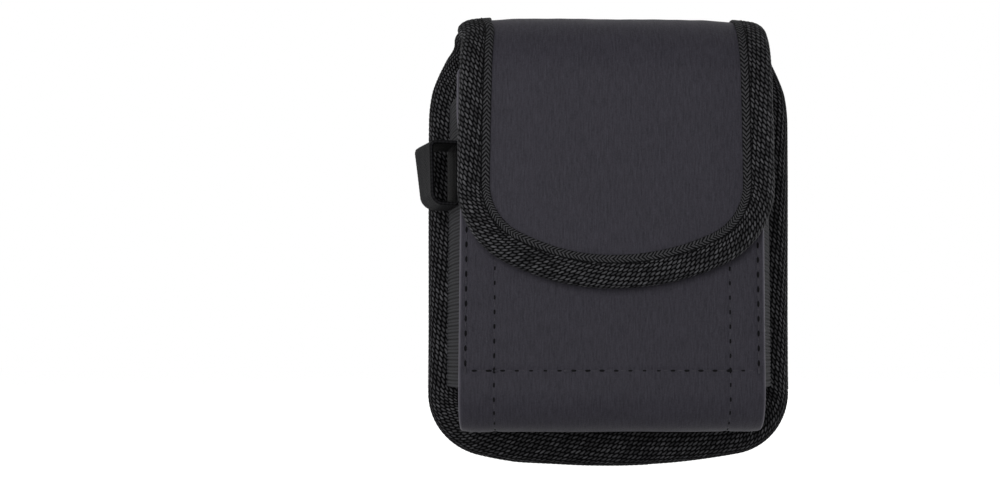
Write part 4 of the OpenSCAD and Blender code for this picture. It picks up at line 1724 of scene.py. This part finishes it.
@dataclass
class BackPatch:
    """The two leatherette patches on the back, and their seams."""

    half: float
    low: float
    high: float
    slit: float
    base: float = 1.4
    plate_half: float = 12.2
    plate_low: float = 42.2
    plate: float = 0.7
    skin: float = 1.0
    pitch: float = 2.0
    groove: float = 0.22
    cover_groove: float = 0.2
    sag: float = 0.62
    under_sag: float = 0.68
    seam_x: float = 14.5
    seams: tuple[float, float, float, float] = (89.3, 84.9, 26.0, 22.0)

    def seam_pits(self, flat: np.ndarray) -> np.ndarray:
        """How near each place is to a seam: 1 on it."""
        x, z = flat[..., 0], flat[..., 1]
        found = pit(np.abs(x) - self.seam_x, 0.6)
        for level in self.seams:
            found = np.maximum(found, pit(z - level, 0.6))
        return found

    def base_relief(self, flat: np.ndarray, reach: np.ndarray) -> np.ndarray:
        """Grooves of the base patch's seams."""
        return self.groove * self.seam_pits(flat) - 0.1 * smooth(reach, 0.0, 2.0)

    def over_plate(self, flat: np.ndarray) -> np.ndarray:
        """1 over the clip's inner plate, falling to 0 beside it."""
        side = fade(np.abs(flat[..., 0]), self.plate_half + 0.2, self.plate_half + 1.3)
        return side * smooth(flat[..., 1], self.plate_low - 1.6, self.plate_low - 0.3)

    def cover_relief(self, flat: np.ndarray, reach: np.ndarray) -> np.ndarray:
        """The cover patch is drawn down beside the plate and along its seams."""
        edge = 0.15 * smooth(reach, 0.0, 1.5)
        return (self.sag * (1.0 - self.over_plate(flat))
                + self.cover_groove * self.seam_pits(flat) - edge)

    def cover_under(self, flat: np.ndarray, _reach: np.ndarray) -> np.ndarray:
        """The cover patch's inner side lies on the base patch beside the plate."""
        return self.under_sag * (1.0 - self.over_plate(flat))

    def build(self, finishes: Finishes) -> None:
        """Makes the base patch, the cover patch and their stitches."""
        form = {"corner": 1.2, "rounding": 0.4, "step": 0.4}
        # rim paints a highlight along the patches' edges
        base = Slab(self.half, self.low, self.high, 0.0, self.base - 0.02, rim=0.5, **form).build(
            "patch_under", Flat(self.base, self.base), self.base_relief)
        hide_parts("patch_base")
        out = self.base + self.plate + self.skin
        cover = Slab(self.half, self.low, self.slit, 0.0, self.skin - 0.05, rim=0.3, **form).build(
            "patch_over", Flat(out, self.skin), self.cover_relief, self.cover_under)
        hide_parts("patch_cover")
        under, over = Flat(self.base, 1.0), Flat(self.base + 0.08 + self.skin, 1.0)
        end = self.half - 1.5
        runs = [(under if z > self.slit else over, (-end, z), (end, z)) for z in self.seams]
        for x in (-self.seam_x, self.seam_x):
            runs += [(under, (x, self.slit + 1.0), (x, self.seams[0])),
                     (over, (x, self.seams[3]), (x, self.slit - 1.2))]
        thread = sew("patch_stitches", [seam(sheet, np.array([start, stop]), 0.0, 0.06, self.pitch)
                                        for sheet, start, stop in runs], 1.5, 0.2)
        finish_piece(base, finishes.leatherette, Slot.LEATHERETTE, Body.CASE)
        # the cover patch takes the darker leatherette: painted shadow of the clip
        finish_piece(cover, finishes.patch, Slot.LEATHERETTE, Body.CASE)
        finish_piece(thread, finishes.thread, Slot.LEATHERETTE, Body.CASE)


@dataclass
class Band:
    """A short strip of webbing with ribs along it, swept along a bent line."""

    name: str
    line: np.ndarray
    closed: bool
    wide: float
    thick: float
    ribs: float = 0.75
    bumps: float = 0.9
    arris: float = 0.25
    spacing: float = 0.15
    inside_painted_shade: float = 0.15

    def sweep(self, to_case: Callable[[np.ndarray, np.ndarray], np.ndarray]) -> bpy.types.Object:
        """Sweeps the band's cross-section along its line.

        Args:
            to_case: gives places in the case frame from points of the line's plane and distances
                across the band.

        Returns:
            The piece.
        """
        tangent = unit(slopes(self.line, 0, self.closed))
        normal = np.stack([tangent[:, 1], -tangent[:, 0]], -1)
        along = distances(self.line)
        half = self.wide / 2
        count = max(8, round(self.wide / self.spacing))
        face = np.linspace(self.arris - half, half - self.arris, count)
        across = np.concatenate([face, [half], face[::-1], [-half], face[:1]])
        lift = np.concatenate([np.ones(count), [0.0], -np.ones(count), [0.0], [1.0]])
        rib = np.abs(np.sin(math.pi * across / self.ribs)) ** 0.8
        shift = 0.5 * (np.floor(across / self.ribs) % 2)[None, :]
        cross = np.abs(np.sin(math.pi * (along[:, None] / self.bumps + shift)))
        # yarn heights: they shape the band and, as its tone, paint a highlight on the ribs and
        # shade between them
        tone = rib[None, :] * (0.2 + 0.8 * cross)
        out = lift[None, :] * (self.thick / 2 - 0.12 + 0.14 * tone)
        spots = self.line[:, None] + normal[:, None] * out[..., None]
        # inside a closed loop the tone is dimmed: painted shadow on the loop's inner side
        if self.closed:
            tone = tone * np.where(lift > 0, self.inside_painted_shade, 1.0)
        spread = across_rows(across, len(along))
        points = to_case(spots, spread)
        uv = np.stack([down_columns(along, len(across)), spread], -1)
        piece = grid_piece(self.name, points, uv=uv, tone=tone, closed=self.closed)
        if not self.closed:
            BindingTape.cap(piece)
        return piece


@dataclass
class Webbing:
    """The ring's tab and the side loop."""

    ring_y: float
    ring_z: float
    patch_top: float
    tab_half: float
    elastic: ElasticSide
    loop_low: float
    loop_h: float = 15.4
    loop_reach: float = 7.4
    loop_w: float = 12.6
    loop_t: float = 1.0
    bar_gap: float = 1.1
    web: float = 0.8
    tuck: float = 4.9
    spread: float = 0.28
    low_spread: float = 0.3
    seam_r: float = 0.6
    high_r: float = 1.2
    low_r: float = 2.6

    def tab_line(self) -> np.ndarray:
        """Line of the tab: up from under the patch, round the ring's bar and down again."""
        radius = self.bar_gap + self.web / 2
        rear = self.web / 2 + 0.07
        start = self.patch_top - self.tuck
        low = [[rear, start], [rear, self.ring_z - 0.3]]
        turn = arc(self.ring_y, self.ring_z, radius, *np.radians([270.0, 38.0]), 27)
        last = turn[-1]
        end = [[last[0] - 0.42, last[1] - 0.5], [rear + self.web + 0.42, self.patch_top + 0.25]]
        return np.concatenate([low, turn, end])

    def loop_line(self) -> np.ndarray:
        """Closed line of the side loop, outward and up."""
        t = self.loop_t / 2
        u0, u1 = 0.1 + t, self.loop_reach - t
        z0, z1 = t, self.loop_h - t
        seam_r, high_r, low_r = self.seam_r, self.high_r, self.low_r
        quarter = math.pi / 2
        line = np.concatenate([
            [[u0, z0 + seam_r]],
            [[u0, z1 - seam_r]], arc(u0 + seam_r, z1 - seam_r, seam_r, 3 * quarter, math.pi, 6),
            arc(u1 - high_r, z1 - high_r, high_r, math.pi, quarter, 9),
            arc(u1 - 0.4 - low_r, z0 + low_r, low_r, quarter, 0.0, 13),
            arc(u0 + seam_r, z0 + seam_r, seam_r, 0.0, -quarter, 6)])
        return even(line, 150)

    def widening(self, across: np.ndarray, level: np.ndarray) -> np.ndarray:
        """How far the side loop spreads outward: most at the top of its rear edge."""
        higher = self.low_spread + (1.0 - self.low_spread) * level / self.loop_h
        return 1.0 + self.spread * (0.5 + across / self.loop_w) * higher

    def build(self, finishes: Finishes) -> None:
        """Makes the tab and the loop."""
        tab = Band("ring_webbing", even(self.tab_line(), 90), False, 2 * self.tab_half, self.web)
        tab_piece = tab.sweep(lambda spots, across: np.stack(
            [across, spots[..., 0], spots[..., 1]], -1))
        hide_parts("ring_tab")
        run = self.elastic.depth / math.cos(self.elastic.turn) / 2 - 0.6
        loop = Band("side_webbing", self.loop_line(), True, self.loop_w, self.loop_t)
        loop_piece = loop.sweep(lambda spots, across: self.elastic.place(
            run + across, self.loop_low + spots[..., 1],
            spots[..., 0] * self.widening(across, spots[..., 1])))
        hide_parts("side_loop")
        for piece in (tab_piece, loop_piece):
            finish_piece(piece, finishes.webbing, Slot.WEBBING, Body.CASE)


@dataclass
class Hardware:
    """Clip, rivets, washers, ring, board, magnet and plate."""

    def build(self, finishes: Finishes) -> None:
        """Rounds the CAD forms' edges and finishes them."""
        black = (finishes.black_steel, Slot.BLACK_STEEL)
        bare = (finishes.bare_steel, Slot.BARE_STEEL)
        for node, name, bevel, look, body in (
                ("belt_clip", "spring_clip", 0.14, black, Body.CASE),
                ("rivets", "rivet_caps", 0.08, black, Body.CASE),
                ("rivet_washers", "washers", 0.05, bare, Body.CASE),
                ("d_ring", "ring", 0.0, (finishes.nickel, Slot.NICKEL), Body.RING),
                ("back_board", "stiff_board", 0.1, (finishes.board, Slot.BOARD), Body.CASE),
                ("front_plate", "keeper_plate", 0.05, bare, Body.CASE),
                ("flap_magnet", "magnet", 0.1, bare, Body.FLAP)):
            finish_piece(node_copy(node, name, bevel), *look, body)


@dataclass(frozen=True)
class Lamp:
    """A square soft lamp: its place and side in metres, and its power in watts."""

    name: str
    place: tuple[float, float, float]
    size: float
    power: float

    def build(self, aim: Vector) -> None:
        """Adds the lamp, facing a point."""
        data = bpy.data.lights.new(self.name, "AREA")
        data.shape = "SQUARE"
        data.size = self.size
        data.energy = self.power
        lamp = add_object(self.name, data)
        lamp.location = self.place
        lamp.rotation_euler = (aim - Vector(self.place)).to_track_quat("-Z", "Y").to_euler()


@dataclass
class Studio:
    """Floor, world and lamps, and the camera, which stands where the photograph's did."""

    floor_gap: float = 0.3
    floor_glow: float = 0.91
    world_light: float = 0.11
    distance: float = 0.3107
    focal_px: float = 1330.0
    image_width: float = 1000.0
    object_px: float = 611.8
    azimuth: float = -2.07
    elevation: float = -5.15
    sensor: float = 36.0
    target: tuple[float, float, float] = (0.0, -0.030, -0.0286)
    lamp_aim: tuple[float, float, float] = (0.0, -0.015, -0.03)
    lamps: tuple[Lamp, ...] = (Lamp("key", (-0.10, -0.45, 0.02), 0.3, 1.25),
                               Lamp("left", (-0.60, 0.06, -0.02), 0.5, 1.55),
                               Lamp("right", (0.60, 0.06, -0.02), 0.5, 2.25),
                               Lamp("rear", (0.20, 0.85, 0.02), 0.5, 5.0))

    @staticmethod
    def seen(shading: Shading) -> Socket:
        """Tells whether a ray comes from the camera, from gloss or through a clear piece."""
        path = shading.node("ShaderNodeLightPath").outputs
        sharp = shading.math("MAXIMUM", path["Is Camera Ray"], path["Is Glossy Ray"])
        return shading.math("MAXIMUM", sharp, path["Is Transmission Ray"])

    def floor(self, level: float) -> None:
        """Adds the pale floor, which glows for the camera and keeps the shadow."""
        deselect()
        bpy.ops.mesh.primitive_plane_add(size=6.0, location=(0.0, 0.0, level))
        plane = bpy.context.object
        plane.name = "floor"
        material = bpy.data.materials.new("Pale floor")
        material.use_nodes = True
        shading = Shading(material.node_tree)
        shading.tree.nodes.remove(shading.tree.nodes["Principled BSDF"])
        diffuse = shading.node("ShaderNodeBsdfDiffuse", Color=(0.8, 0.8, 0.8, 1.0))
        strength = shading.math("MULTIPLY", self.seen(shading), self.floor_glow)
        glow = shading.node("ShaderNodeEmission", Strength=strength)
        total = shading.node("ShaderNodeAddShader", i0=diffuse.outputs[0], i1=glow.outputs[0])
        shading.fill(shading.tree.nodes["Material Output"], Surface=total.outputs[0])
        plane.data.materials.append(material)
        plane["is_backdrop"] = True

    def world(self) -> None:
        """Sets a white world for the camera and for gloss, and a softer one for light."""
        world = bpy.data.worlds.new("Studio")
        bpy.context.scene.world = world
        world.use_nodes = True
        shading = Shading(world.node_tree)
        strength = shading.node("ShaderNodeMix", {"data_type": "FLOAT"}, i0=self.seen(shading),
                                i2=self.world_light, i3=1.0)
        shading.fill(world.node_tree.nodes["Background"], Color=WHITE,
                     Strength=strength.outputs[0])

    def camera(self) -> None:
        """Adds the camera at the photograph's viewing angle."""
        data = bpy.data.cameras.new("Camera")
        data.sensor_width = self.sensor
        data.lens = self.sensor * self.focal_px / self.image_width
        data.shift_x = 0.5 - self.object_px / self.image_width
        data.clip_start = 0.01
        camera = add_object("Camera", data)
        az, el = math.radians(self.azimuth), math.radians(self.elevation)
        back = Vector((math.sin(az) * math.cos(el), -math.cos(az) * math.cos(el), math.sin(el)))
        camera.location = Vector(self.target) + back * self.distance
        camera.rotation_euler = (-back).to_track_quat("-Z", "Y").to_euler()
        bpy.context.scene.camera = camera

    def build(self) -> None:
        """Builds the studio."""
        self.floor(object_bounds()[0][2] - self.floor_gap * MM)
        self.world()
        for lamp in self.lamps:
            lamp.build(Vector(self.lamp_aim))
        self.camera()
        bpy.context.scene.view_settings.view_transform = "Standard"


# Millimetres that set pieces off from their nodes' boxes
GUSSET_LIFT = 1.5
GUSSET_IN = 0.5
RING_WIRE_R = 0.8


def main() -> None:
    """Builds every sub-assembly in order."""
    logging.basicConfig(level=logging.INFO, format="%(message)s")
    finishes = Finishes()
    strip = Strip.from_frame()
    patch_low, patch_high = case_box("patch_base")
    shell = Shell(strip, patch_high[0], patch_low[2], patch_high[2])
    for piece in shell.build(finishes) + BindingTape(strip).build(finishes):
        over_arch(piece)
    panel = Panel.from_frame()
    FrontPanel(panel).build(finishes)
    gusset_low, gusset_high = case_box("right_gusset")
    sides = {side: ElasticSide(side, panel.half - GUSSET_IN, gusset_low[1],
                               gusset_low[2] + GUSSET_LIFT, gusset_high[2]) for side in Side}
    for elastic in sides.values():
        elastic.build(finishes)
    BackPatch(patch_high[0], patch_low[2], patch_high[2],
              slit=case_box("patch_cover")[1][2]).build(finishes)
    ring_low, ring_high = case_box("d_ring")
    Webbing(ring_y=(ring_low[1] + ring_high[1]) / 2, ring_z=ring_low[2] + RING_WIRE_R,
            patch_top=patch_high[2], tab_half=case_box("ring_tab")[1][0],
            elastic=sides[Side.LEFT], loop_low=case_box("side_loop")[0][2]).build(finishes)
    Hardware().build(finishes)
    Studio().build()


if __name__ == "__main__":
    main()
